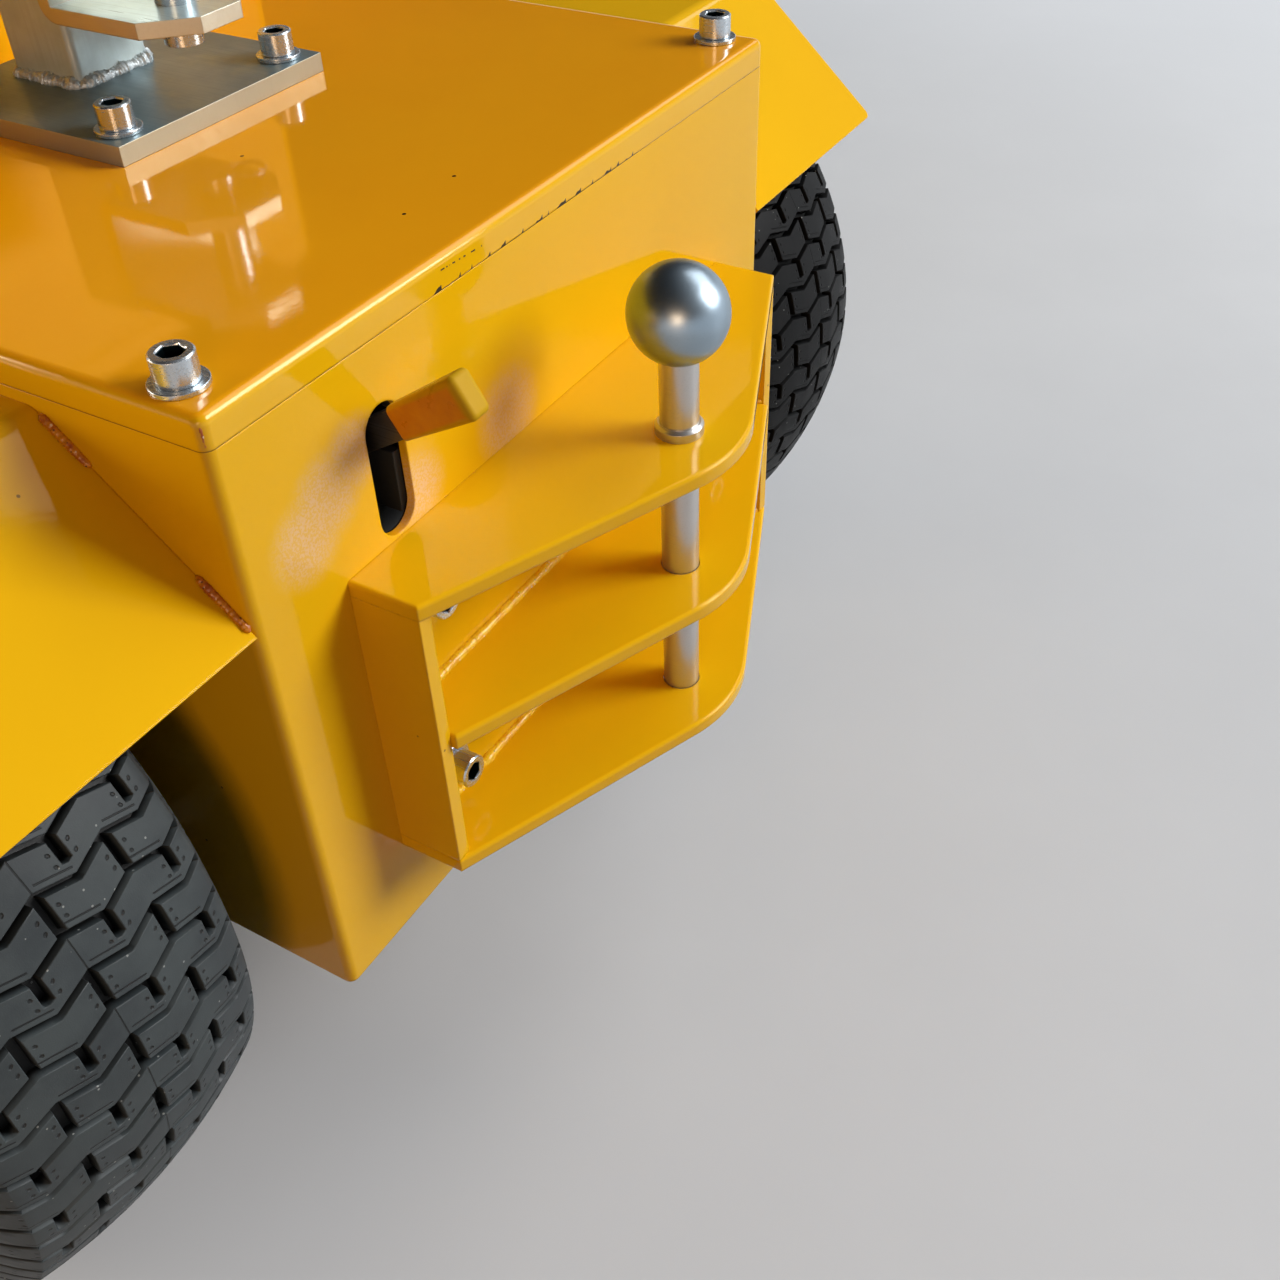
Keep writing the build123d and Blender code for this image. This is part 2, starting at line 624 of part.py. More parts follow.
def axle_housing():
    """Gear case between the wheels with an axle tube and a bearing flange on each side."""
    z = TYRE_RADIUS
    half = GEAR_CASE_WIDTH / 2
    flange_end = WHEEL_X + GEAR_CASE_RADIUS + GEAR_SNOUT_LENGTH
    case = rod_y(WHEEL_X, z, -half, half, GEAR_CASE_RADIUS)
    case = fillet(case.edges().filter_by(GeomType.CIRCLE), GEAR_CASE_ROUND)
    case += rod_x(0, z, WHEEL_X + GEAR_CASE_RADIUS / 2, flange_end, GEAR_NECK_RADIUS)
    case += rod_x(0, z, flange_end - GEAR_FLANGE, flange_end, GEAR_FLANGE_RADIUS)
    for side in (1, -1):
        case += rod_y(WHEEL_X, z, side * half / 2, side * (HALF + AXLE_FLANGE), AXLE_TUBE)
        case += rod_y(WHEEL_X, z, side * HALF, side * (HALF + AXLE_FLANGE), AXLE_FLANGE_RADIUS)
        case -= rod_y(WHEEL_X, z, side * (HALF - SHAFT_REACH - SHAFT_END_GAP),
                      side * (HALF + AXLE_FLANGE + CUT), SHAFT_RADIUS + SHAFT_CLEAR)
    return case


def drive_motor():
    """Motor flanged to the gear case, a plain round block with end caps."""
    x0 = WHEEL_X + GEAR_CASE_RADIUS + GEAR_SNOUT_LENGTH
    motor = rod_x(0, TYRE_RADIUS, x0, x0 + MOTOR_LENGTH, MOTOR_RADIUS)
    return chamfer(motor.edges().filter_by(GeomType.CIRCLE), MOTOR_CHAMFER)


def battery_tray():
    """Shelf across the housing that the batteries stand on."""
    z = battery_floor()
    return block(HOOD_X + RIM_FLANGE, FRONT_X - WALL, WALL - HALF, HALF - WALL, z - TRAY_SHEET, z)


def battery_floor():
    """Height of the shelf's top: above the motor and the casters' flanges."""
    return TYRE_RADIUS + MOTOR_RADIUS + 2 * WALL + TRAY_SHEET


def battery_pack():
    """Two batteries side by side, as one block with a parting groove."""
    z = battery_floor()
    x0 = battery_start()
    pack = block(x0, x0 + BATTERY_LENGTH, -BATTERY_WIDTH / 2, BATTERY_WIDTH / 2, z, z + BATTERY_HEIGHT)
    return pack - block(x0 - CUT, x0 + BATTERY_LENGTH + CUT, -BATTERY_GROOVE / 2, BATTERY_GROOVE / 2,
                        z + BATTERY_GROOVE_FLOOR, z + BATTERY_HEIGHT + CUT)


def deck_base_plate():
    """Galvanised plate under the post."""
    plate = block(REAR_X + BASE_REAR, REAR_X + BASE_REAR + BASE_SIZE, -BASE_SIZE / 2, BASE_SIZE / 2,
                  DECK_HEIGHT, DECK_HEIGHT + BASE_PLATE)
    return plate - base_bolt_holes()


def deck_post():
    """Square tube, rounded at its long edges and closed by a cap."""
    x0 = REAR_X + POST_REAR
    half = POST_SIZE / 2
    low = DECK_HEIGHT + BASE_PLATE
    high = DECK_HEIGHT + POST_TOP
    tube = block(x0, x0 + POST_SIZE, -half, half, low, high)
    tube = fillet(tube.edges().filter_by(Axis.Z), POST_WALL)
    return tube - block(x0 + POST_WALL, x0 + POST_SIZE - POST_WALL, POST_WALL - half, half - POST_WALL,
                        low - CUT, high - POST_WALL)


def deck_clevis():
    """Bent U of plate on the post's rear face, its jaws chamfered at the corners and bored for the pin."""
    x1 = REAR_X + POST_REAR
    half = CLEVIS_WIDTH / 2
    low = DECK_HEIGHT + CLEVIS_LOW
    high = low + 2 * CLEVIS_PLATE + CLEVIS_GAP
    body = block(x1 - CLEVIS_REACH, x1, -half, half, low, high)
    body = fillet(body.edges().filter_by(Axis.Y).sort_by(Axis.X)[-2:], CLEVIS_BEND)
    body -= block(x1 - CLEVIS_REACH - CUT, x1 - CLEVIS_PLATE, -half - CUT, half + CUT,
                  low + CLEVIS_PLATE, high - CLEVIS_PLATE)
    corners = [e for e in body.edges().filter_by(Axis.Z) if e.center().X < x1 - CLEVIS_REACH + CUT]
    body = chamfer(corners, CLEVIS_CHAMFER)
    return body - rod_z(x1 - CLEVIS_PIN_BEHIND, 0, low - CUT, high + CUT, CLEVIS_PIN_RADIUS)


def clevis_pin():
    """Headed pin through both jaws, with a cross hole below for its ring."""
    x = REAR_X + POST_REAR - CLEVIS_PIN_BEHIND
    low = DECK_HEIGHT + CLEVIS_LOW
    high = low + 2 * CLEVIS_PLATE + CLEVIS_GAP
    pin = rod_z(x, 0, low - CLEVIS_PIN_BELOW, high + CLEVIS_HEAD / 2, CLEVIS_PIN_RADIUS)
    head = rod_z(x, 0, high, high + CLEVIS_HEAD, CLEVIS_HEAD_RADIUS)
    head = chamfer(head.edges().filter_by(GeomType.CIRCLE), CLEVIS_HEAD / 5)
    cross = rod_y(x, low - CLEVIS_PIN_BELOW / 2, -2 * CLEVIS_PIN_RADIUS, 2 * CLEVIS_PIN_RADIUS, RING_HOLE)
    return pin + head - cross


def clevis_ring():
    """Split ring that passes through the pin's cross hole."""
    x = REAR_X + POST_REAR - CLEVIS_PIN_BEHIND
    z = DECK_HEIGHT + CLEVIS_LOW - CLEVIS_PIN_BELOW / 2
    wire = rod_y(x, z, -CLEVIS_PIN_RADIUS - 2 * RING_WIRE, CLEVIS_PIN_RADIUS + 2 * RING_WIRE, RING_WIRE)
    ring = Pos(x, -CLEVIS_PIN_RADIUS - RING_RADIUS - 2 * RING_WIRE, z) * Torus(RING_RADIUS, RING_WIRE)
    return wire + ring


def hood_profile(inset, drop):
    """Side outline of the hood, as (x, z) points, inset from its walls and lowered from its top."""
    run = FRONT_X - SLOPE_X
    tilt = math.atan2(SLOPE_DROP, run)
    back = inset * math.tan(tilt / 2)
    return [(HOOD_X + inset, DECK_HEIGHT), (HOOD_X + inset, HOOD_TOP - drop),
            (SLOPE_X - back, HOOD_TOP - drop),
            (FRONT_X - inset, SLOPE_FOOT - inset * math.tan(math.pi / 4 - tilt / 2)),
            (FRONT_X - inset, DECK_HEIGHT)]


def hood_case():
    """Walls and sloped front panel of the hood, open on top below the lid."""
    half = HOOD_WIDTH / 2
    case = side_plate(hood_profile(0, 0), -half, half)
    upright = [e for e in case.edges().filter_by(Axis.Z) if e.length > SLOPE_FOOT - DECK_HEIGHT - CUT]
    case = fillet(upright, HOOD_CORNER)
    inner = side_plate(hood_profile(HOOD_WALL, HOOD_WALL), HOOD_WALL - half, half - HOOD_WALL)
    upright = [e for e in inner.edges().filter_by(Axis.Z)
               if e.length > SLOPE_FOOT - DECK_HEIGHT - 2 * HOOD_WALL]
    inner = fillet(upright, HOOD_CORNER - HOOD_WALL)
    case -= inner
    seam = HOOD_TOP - HOOD_LIP
    case -= block(HOOD_X - CUT, SLOPE_X, -half - CUT, half + CUT, seam, HOOD_TOP + CUT)
    case -= block(HOOD_X + HOOD_WALL, FRONT_X - HOOD_WALL, HOOD_WALL - half, half - HOOD_WALL,
                  DECK_HEIGHT - CUT, DECK_HEIGHT + CUT)
    return case


def hood_lid():
    """Lid with lips folded down all round, knuckles at its rear edge and a pull at its front."""
    half = HOOD_WIDTH / 2
    seam = HOOD_TOP - HOOD_LIP
    lid = block(HOOD_X, SLOPE_X - HOOD_GAP, -half, half, seam + HOOD_GAP, HOOD_TOP)
    lid = fillet([e for e in lid.edges().filter_by(Axis.Z) if e.center().X < HOOD_X + CUT], HOOD_CORNER)
    inner = block(HOOD_X + HOOD_WALL, SLOPE_X - HOOD_GAP - HOOD_WALL, HOOD_WALL - half, half - HOOD_WALL,
                  seam - CUT, HOOD_TOP - HOOD_WALL)
    rear = [e for e in inner.edges().filter_by(Axis.Z) if e.center().X < HOOD_X + HOOD_WALL + CUT]
    lid -= fillet(rear, HOOD_CORNER - HOOD_WALL)
    for side in (1, -1):
        lid += hinge_leaf(side, seam + HOOD_GAP, HOOD_TOP - HOOD_WALL, 1)
    return lid


def hinge_leaf(side, z0, z1, knuckle):
    """Leaf of one hinge on the rear face. The lid has the middle knuckle, the case the outer two."""
    y = side * HINGE_SIDE
    third = HINGE_LENGTH / 6
    x = HOOD_X - HINGE_RADIUS
    z = hinge_height()
    leaf = block(HOOD_X - HOOD_WALL, HOOD_X, y - HINGE_LENGTH / 2, y + HINGE_LENGTH / 2, z0, z1)
    if knuckle:
        leaf -= rod_y(x, z, y - HINGE_LENGTH, y + HINGE_LENGTH, HINGE_RADIUS + HOOD_GAP)
        barrel = rod_y(x, z, y - third + HOOD_GAP / 2, y + third - HOOD_GAP / 2, HINGE_RADIUS)
        barrel += block(x, HOOD_X, y - third + HOOD_GAP / 2, y + third - HOOD_GAP / 2, z, z + HINGE_RADIUS)
        barrel -= rod_y(x, z, y - HINGE_LENGTH, y + HINGE_LENGTH, HINGE_PIN + HINGE_CLEAR)
        return leaf + barrel
    leaf -= block(x, HOOD_X + CUT, y - third - HOOD_GAP, y + third + HOOD_GAP,
                  z - HINGE_RADIUS - HOOD_GAP, z1 + CUT)
    for part in (1, -1):
        y0 = y + part * (third + HOOD_GAP / 2)
        y1 = y + part * HINGE_LENGTH / 2
        leaf += rod_y(x, z, y0, y1, HINGE_RADIUS)
        leaf += block(x, HOOD_X, y0, y1, z - HINGE_RADIUS, z)
    return leaf + rod_y(x, z, y - third - HOOD_GAP, y + third + HOOD_GAP, HINGE_PIN)


def hinge_height():
    """Height of the hood's hinge line, on the seam between case and lid."""
    return HOOD_TOP - HOOD_LIP + HOOD_GAP / 2


def hood_hinges():
    """The fixed half of both hinges, on the hood's rear wall."""
    z1 = HOOD_TOP - HOOD_LIP
    fixed = None
    for side in (1, -1):
        leaf = hinge_leaf(side, z1 - HOOD_FLANGE, z1, 0)
        fixed = leaf if fixed is None else fixed + leaf
    return fixed


def lid_pull():
    """Bow handle on the lid, near its front edge."""
    x = SLOPE_X - LID_PULL_BACK
    half = LID_PULL_SPAN / 2
    z = HOOD_TOP
    path = FilletPolyline((x, -half, z), (x, -half, z + LID_PULL_STANDOFF), (x, half, z + LID_PULL_STANDOFF),
                          (x, half, z), radius=LID_PULL_BEND)
    return sweep(Plane(origin=(x, -half, z), z_dir=(0, 0, 1)) * Circle(LID_PULL_RADIUS), path=path)


def caster_plate(side):
    """Top plate, upper ball race and kingpin of a caster."""
    y = side * CASTER_SIDE
    z = STEP_HEIGHT
    plate = block(CASTER_X - CASTER_PLATE_LENGTH / 2, CASTER_X + CASTER_PLATE_LENGTH / 2,
                  y - CASTER_PLATE_WIDTH / 2, y + CASTER_PLATE_WIDTH / 2, z - CASTER_PLATE, z)
    plate = fillet(plate.edges().filter_by(Axis.Z), CASTER_PLATE)
    race = rod_z(CASTER_X, y, z - CASTER_PLATE - RACE_HEIGHT, z - CASTER_PLATE, RACE_RADIUS)
    nut_top = fork_crown() - FORK_PLATE - KING_GAP
    king = rod_z(CASTER_X, y, nut_top - KING_NUT, z - CASTER_PLATE, KING_RADIUS)
    nut = rod_z(CASTER_X, y, nut_top - KING_NUT, nut_top, KING_NUT_RADIUS)
    return plate + race + king + nut


def fork_crown():
    """Height of the top of the fork's crown."""
    return STEP_HEIGHT - CASTER_PLATE - RACE_HEIGHT - RACE_GAP


def caster_fork(side):
    """Pressed fork: a round crown, two swept legs and the axle through them."""
    y = side * CASTER_SIDE
    top = fork_crown()
    axle_x = CASTER_X - CASTER_TRAIL
    fork = rod_z(CASTER_X, y, top - FORK_PLATE, top, FORK_CROWN_RADIUS)
    half = FORK_WIDTH / 2
    outline = [(CASTER_X + FORK_FRONT, top), (CASTER_X - FORK_CROWN_RADIUS, top),
               (axle_x - FORK_EYE, CASTER_RADIUS), (axle_x - FORK_EYE / 2, CASTER_RADIUS - FORK_EYE),
               (axle_x + FORK_EYE / 2, CASTER_RADIUS - FORK_EYE), (axle_x + FORK_EYE, CASTER_RADIUS)]
    for leg in (1, -1):
        y0 = y + leg * (half - FORK_PLATE)
        y1 = y + leg * half
        fork += side_plate(outline, min(y0, y1), max(y0, y1))
    fork += block(CASTER_X - FORK_CROWN_RADIUS, CASTER_X + FORK_FRONT, y - half, y + half,
                  top - FORK_PLATE, top)
    fork -= rod_z(CASTER_X, y, top - FORK_PLATE - CUT, top + CUT, KING_RADIUS + KING_CLEAR)
    fork += rod_y(axle_x, CASTER_RADIUS, y - half - CASTER_NUT, y + half + CASTER_NUT, CASTER_AXLE_RADIUS)
    for leg in (1, -1):
        fork += rod_y(axle_x, CASTER_RADIUS, y + leg * half, y + leg * (half + CASTER_NUT),
                      CASTER_NUT_RADIUS)
    return fork


def caster_tread(side):
    """Rubber tread band of a caster wheel, with rounded edges."""
    y = side * CASTER_SIDE
    half = CASTER_WIDTH / 2
    edge = CASTER_TREAD_ROUND
    points = [(-half, CASTER_CORE_RADIUS), (-half, CASTER_RADIUS - edge), (edge - half, CASTER_RADIUS),
              (half - edge, CASTER_RADIUS), (half, CASTER_RADIUS - edge), (half, CASTER_CORE_RADIUS)]
    return turned(points, CASTER_X - CASTER_TRAIL, y, CASTER_RADIUS)


def caster_core(side):
    """Core of a caster wheel: rim, thin web and a hub that nearly fills the fork."""
    y = side * CASTER_SIDE
    half = CASTER_WIDTH / 2
    hub_half = FORK_WIDTH / 2 - FORK_PLATE - CASTER_SIDE_GAP
    bore = CASTER_AXLE_RADIUS + CASTER_AXLE_CLEAR
    edge = CASTER_CORE_RADIUS
    band = edge - CASTER_BAND
    web = CASTER_WEB / 2
    foot = CASTER_HUB_RADIUS + web
    points = [(-hub_half, bore), (-hub_half, CASTER_HUB_RADIUS), (-web, foot), (-web, band - web),
              (-half, band), (-half, edge), (half, edge), (half, band), (web, band - web),
              (web, foot), (hub_half, CASTER_HUB_RADIUS), (hub_half, bore)]
    return turned(points, CASTER_X - CASTER_TRAIL, y, CASTER_RADIUS)


def tiller_bracket():
    """Mounting plate and two ears on the front wall, with the pivot pin."""
    half = TILLER_TUBE_WIDTH / 2 + TILLER_SIDE_GAP
    bracket = block(FRONT_X, FRONT_X + TILLER_EAR, -half - TILLER_PLATE_SIDE, half + TILLER_PLATE_SIDE,
                    TILLER_Z - TILLER_PLATE_DROP, TILLER_Z + BUFFER_ABOVE_PIVOT + BUFFER_HEIGHT)
    ear_points = [(FRONT_X + TILLER_EAR, TILLER_Z - 2 * TILLER_EAR_RADIUS),
                  (FRONT_X + TILLER_EAR, TILLER_Z + TILLER_EAR_RADIUS),
                  (TILLER_X, TILLER_Z + TILLER_EAR_RADIUS), (TILLER_X, TILLER_Z - TILLER_EAR_RADIUS)]
    for side in (1, -1):
        y0 = min(side * half, side * (half + TILLER_EAR))
        ear = side_plate(ear_points, y0, y0 + TILLER_EAR)
        ear += rod_y(TILLER_X, TILLER_Z, y0, y0 + TILLER_EAR, TILLER_EAR_RADIUS)
        bracket += ear
    pin_end = half + TILLER_EAR + TILLER_PIN_END
    return bracket + rod_y(TILLER_X, TILLER_Z, -pin_end, pin_end, TILLER_PIN_RADIUS)


def tiller_buffer():
    """Rubber block on the bracket that the parked tiller leans against, its face parallel to the arm."""
    z0 = TILLER_Z + BUFFER_ABOVE_PIVOT
    z1 = z0 + BUFFER_HEIGHT
    lean = math.radians(TILLER_LEAN)

    def face(z):
        back = TILLER_TUBE_DEPTH / 2 + BUFFER_GAP
        return TILLER_X - back / math.cos(lean) - (z - TILLER_Z) * math.tan(lean)

    outline = [(FRONT_X + TILLER_EAR, z0), (face(z0), z0), (face(z1), z1), (FRONT_X + TILLER_EAR, z1)]
    return side_plate(outline, -BUFFER_WIDTH / 2, BUFFER_WIDTH / 2)


def tiller_place():
    """Frame of the tiller at rest: its own Z runs up the arm from the pivot, leaning back over the hood."""
    return Pos(TILLER_X, 0, TILLER_Z) * Rot(0, -TILLER_LEAN, 0)


def tiller_arm():
    """Rectangular tube on a bored pivot boss."""
    half = TILLER_TUBE_WIDTH / 2
    wall = TILLER_TUBE_WALL
    depth = TILLER_TUBE_DEPTH
    tube = Pos(0, 0, TILLER_LENGTH / 2) * Box(depth, 2 * half, TILLER_LENGTH)
    tube = fillet(tube.edges().filter_by(Axis.Z), 2 * wall)
    tube -= Pos(0, 0, TILLER_LENGTH / 2) * Box(depth - 2 * wall, 2 * (half - wall), TILLER_LENGTH + 2 * CUT)
    boss = Rot(90, 0, 0) * Cylinder(TILLER_BOSS_RADIUS, 2 * half)
    bore = Rot(90, 0, 0) * Cylinder(TILLER_PIN_RADIUS + TILLER_PIN_CLEAR, 4 * half)
    return tiller_place() * (tube + boss - bore)


def tiller_head():
    """Moulded control head on the arm's top, with the bow handle's sockets."""
    def section(height, depth, width):
        return Plane(origin=(0, 0, HEAD_FOOT + height)) * RectangleRounded(depth, width, HEAD_ROUND)

    base = section(0, TILLER_TUBE_DEPTH + 2 * HEAD_COLLAR, TILLER_TUBE_WIDTH + 2 * HEAD_COLLAR)
    middle = section(HEAD_SHOULDER, HEAD_DEPTH, HEAD_WIDTH)
    crown = section(HEAD_HEIGHT, HEAD_CROWN_DEPTH, HEAD_CROWN_WIDTH)
    head = loft([base, middle], ruled=True) + loft([middle, crown], ruled=True)
    socket = Pos(0, 0, TILLER_LENGTH / 2) * Box(TILLER_TUBE_DEPTH, TILLER_TUBE_WIDTH, TILLER_LENGTH)
    return tiller_place() * (head - socket - bow())


def bow():
    """The bow handle's bar: out of the head's sides, up and across above it."""
    low = BAR_FOOT
    high = BAR_FOOT + BAR_RISE
    half = BAR_SPAN / 2
    inner = HEAD_WIDTH / 2 - BAR_SOCKET
    path = FilletPolyline((0, -inner, low), (0, -half, low), (0, -half, high), (0, half, high),
                          (0, half, low), (0, inner, low), radius=BAR_BEND)
    return sweep(Plane(origin=(0, -inner, low), z_dir=(0, 1, 0)) * Circle(BAR_RADIUS), path=path)


def tiller_bar():
    """Bow handle."""
    return tiller_place() * bow()


def hand_grips():
    """Rubber grips on the bow's two upright limbs."""
    middle = BAR_FOOT + BAR_RISE / 2
    length = BAR_RISE - 2 * BAR_BEND
    grips = None
    for side in (1, -1):
        grip = Pos(0, side * BAR_SPAN / 2, middle) * Cylinder(HAND_GRIP_RADIUS, length)
        grip -= Pos(0, side * BAR_SPAN / 2, middle) * Cylinder(BAR_RADIUS, length + 2 * CUT)
        grips = grip if grips is None else grips + grip
    return tiller_place() * grips


def front_bumper():
    """Channel across the front wall, its rounded face forward."""
    z0 = STEP_HEIGHT + BUMPER_ABOVE_STEP
    half = BUMPER_WIDTH / 2
    bar = block(FRONT_X, FRONT_X + BUMPER_DEPTH, -half, half, z0, z0 + BUMPER_HEIGHT)
    bar = fillet(bar.edges().filter_by(Axis.Y).sort_by(Axis.X)[-2:], BUMPER_ROUND)
    return bar - block(FRONT_X - CUT, FRONT_X + BUMPER_DEPTH - BUMPER_WALL, -half - CUT, half + CUT,
                       z0 + BUMPER_WALL, z0 + BUMPER_HEIGHT - BUMPER_WALL)


def slope_place(y):
    """Frame on the hood's slope at its middle, Z outwards."""
    tilt = math.degrees(math.atan2(SLOPE_DROP, FRONT_X - SLOPE_X))
    return Pos((SLOPE_X + FRONT_X) / 2, y, HOOD_TOP - SLOPE_DROP / 2) * Rot(0, tilt, 0)


def emergency_stop():
    """Mushroom push button on its collar."""
    collar = Pos(0, 0, STOP_BASE / 2) * Cylinder(STOP_BASE_RADIUS, STOP_BASE)
    stem = Pos(0, 0, STOP_BASE + STOP_GAP / 2) * Cylinder(STOP_STEM_RADIUS, 2 * STOP_GAP)
    head = Pos(0, 0, STOP_BASE + STOP_GAP + STOP_HEAD / 2) * Cylinder(STOP_HEAD_RADIUS, STOP_HEAD)
    head = fillet(head.edges().filter_by(GeomType.CIRCLE).sort_by(Axis.Z)[-1], STOP_ROUND)
    return slope_place(STOP_SIDE) * (collar + stem + head)


def control_panel():
    """Raised panel with a key switch and a charge meter."""
    panel = Pos(0, 0, PANEL_THICK / 2) * Box(PANEL_HEIGHT, PANEL_WIDTH, PANEL_THICK)
    panel = fillet(panel.edges().filter_by(Axis.Z), PANEL_CORNER)
    key = Pos(0, -KEY_SIDE, PANEL_THICK + KEY_HEIGHT / 2) * Cylinder(KEY_RADIUS, KEY_HEIGHT)
    meter = Pos(0, METER_SIDE, PANEL_THICK + METER_HEIGHT / 2) * Cylinder(METER_RADIUS, METER_HEIGHT)
    return slope_place(-PANEL_SIDE) * (panel + key + meter)


PARTS = {
    "chassis_housing": chassis_housing,
    "deck_lid": deck_lid,
    "hood_floor": hood_floor,
    "hitch_frame": hitch_frame,
    "hitch_plate_top": lambda: hitch_plate(0),
    "hitch_plate_middle": lambda: hitch_plate(1),
    "hitch_plate_bottom": lambda: hitch_plate(2),
    "tow_pin": tow_pin,
    "tow_pin_ball": tow_pin_ball,
    "release_lever": release_lever,
    "lever_grip": lever_grip,
    "lever_bracket": lever_bracket,
    "axle_housing": axle_housing,
    "drive_motor": drive_motor,
    "battery_tray": battery_tray,
    "battery_pack": battery_pack,
    "deck_base_plate": deck_base_plate,
    "deck_post": deck_post,
    "deck_clevis": deck_clevis,
    "clevis_pin": clevis_pin,
    "clevis_ring": clevis_ring,
    "hood_case": hood_case,
    "hood_hinges": hood_hinges,
    "hood_lid": hood_lid,
    "lid_pull": lid_pull,
    "tiller_bracket": tiller_bracket,
    "tiller_buffer": tiller_buffer,
    "tiller_arm": tiller_arm,
    "tiller_head": tiller_head,
    "tiller_bar": tiller_bar,
    "hand_grips": hand_grips,
    "front_bumper": front_bumper,
    "emergency_stop": emergency_stop,
    "control_panel": control_panel,
}
SIDED_PARTS = {
    "fender": fender,
    "drive_tyre": tyre,
    "drive_rim": rim,
    "drive_hub": hub,
    "caster_plate": caster_plate,
    "caster_fork": caster_fork,
    "caster_tread": caster_tread,
    "caster_core": caster_core,
}


def write_parts():
    """Write every node to its own file."""
    os.makedirs("parts", exist_ok=True)
    for name, make in PARTS.items():
        export_step(make(), os.path.join("parts", name + ".step"))
    for name, make in SIDED_PARTS.items():
        for word, side in SIDES:
            export_step(make(side), os.path.join("parts", name + "_" + word + ".step"))


write_parts()
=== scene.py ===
import math

import bpy
import numpy as np
from mathutils import Matrix, Vector


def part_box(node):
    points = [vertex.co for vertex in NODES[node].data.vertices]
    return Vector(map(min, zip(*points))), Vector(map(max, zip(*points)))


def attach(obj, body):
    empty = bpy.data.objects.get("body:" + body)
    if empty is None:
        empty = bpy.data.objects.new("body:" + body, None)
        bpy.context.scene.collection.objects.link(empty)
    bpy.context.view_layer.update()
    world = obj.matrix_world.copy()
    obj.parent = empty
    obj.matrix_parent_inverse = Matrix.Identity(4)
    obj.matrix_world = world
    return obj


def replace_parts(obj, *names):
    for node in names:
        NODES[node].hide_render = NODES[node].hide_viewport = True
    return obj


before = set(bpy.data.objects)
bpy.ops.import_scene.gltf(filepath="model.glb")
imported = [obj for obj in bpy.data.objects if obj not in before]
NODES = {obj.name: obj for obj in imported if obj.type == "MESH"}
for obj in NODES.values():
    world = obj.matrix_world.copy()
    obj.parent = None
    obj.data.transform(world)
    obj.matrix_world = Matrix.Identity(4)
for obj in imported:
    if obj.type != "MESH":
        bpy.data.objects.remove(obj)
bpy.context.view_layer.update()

MM = 0.001
UP = (0, 0, 1)

# Places read from the frame, in metres
LID_LOW, LID_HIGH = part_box("deck_lid")
BASE_LOW, BASE_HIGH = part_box("deck_base_plate")
POST_LOW, POST_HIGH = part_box("deck_post")
CLEVIS_LOW, CLEVIS_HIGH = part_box("deck_clevis")
HITCH_LOW, HITCH_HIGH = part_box("hitch_frame")
HOUSING_LOW, HOUSING_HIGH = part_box("chassis_housing")
TYRE_LOW, TYRE_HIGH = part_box("drive_tyre_left")
REAR = LID_LOW.x
DECK = LID_HIGH.z
SEAM = LID_LOW.z
HALF = LID_HIGH.y
HOOD = LID_HIGH.x
FRONT = HOUSING_HIGH.x
WHEEL_X = (TYRE_LOW.x + TYRE_HIGH.x) / 2
WHEEL_Y = (TYRE_LOW.y + TYRE_HIGH.y) / 2
TYRE_RADIUS = (TYRE_HIGH.z - TYRE_LOW.z) / 2
TYRE_HALF = (TYRE_HIGH.y - TYRE_LOW.y) / 2
SIDES = (("left", 1.0), ("right", -1.0))

# Tread of the drive tyres
TREAD_HALF = 68.15 * MM
SHOULDER_DROP = 9.8 * MM
BULGE_RADIUS = 166.2 * MM
LIP_RADIUS = 115.5 * MM
LIP_HALF = 65 * MM
BEAD_RADIUS = 101.5 * MM
BEAD_HALF = 55 * MM
CARCASS = 26 * MM
TREAD_ROWS = 70
TREAD_DEPTH = 7.0 * MM
TREAD_EDGE = 0.35 * MM
ZIG_PITCH = 18.95 * MM
ZIG_RISE = 3.0 * MM
ROW_PHASE = 0.3 * MM
LUG_FADE = (74 * MM, 90 * MM)
PIT_ASIDE = 5.4 * MM
PIT_ALONG = (7.6 * MM, 13.4 * MM)
CUT_ALONG = 4.9 * MM

# Across the tread: the slots in half of it with the middle one, a slot's walls as (offset in millimetres,
# depth), and stations on the flank as (millimetres from the middle along the outline, height of the rib)
SLOTS = 4
SLOT_EDGE = ((-3.0, 0.0), (-2.65, TREAD_EDGE), (-2.1, TREAD_DEPTH), (0.0, TREAD_DEPTH), (2.1, TREAD_DEPTH),
             (2.65, TREAD_EDGE), (3.0, 0.0))
FLANK = ((72.0, 0.0), (76.0, 0.0), (81.0, 0.0), (86.0, 0.0), (89.0, 0.0), (89.6, 0.8), (90.8, 0.8),
         (91.4, 0.0), (94.0, 0.0), (94.6, 0.8), (95.8, 0.8), (96.4, 0.0), (104.0, 0.0), (112.0, 0.0),
         (120.0, 0.0), (128.0, 0.0), (136.0, 0.0), (138.0, 1.4), (142.0, 1.4), (144.5, 0.0), (150.0, 0.0))

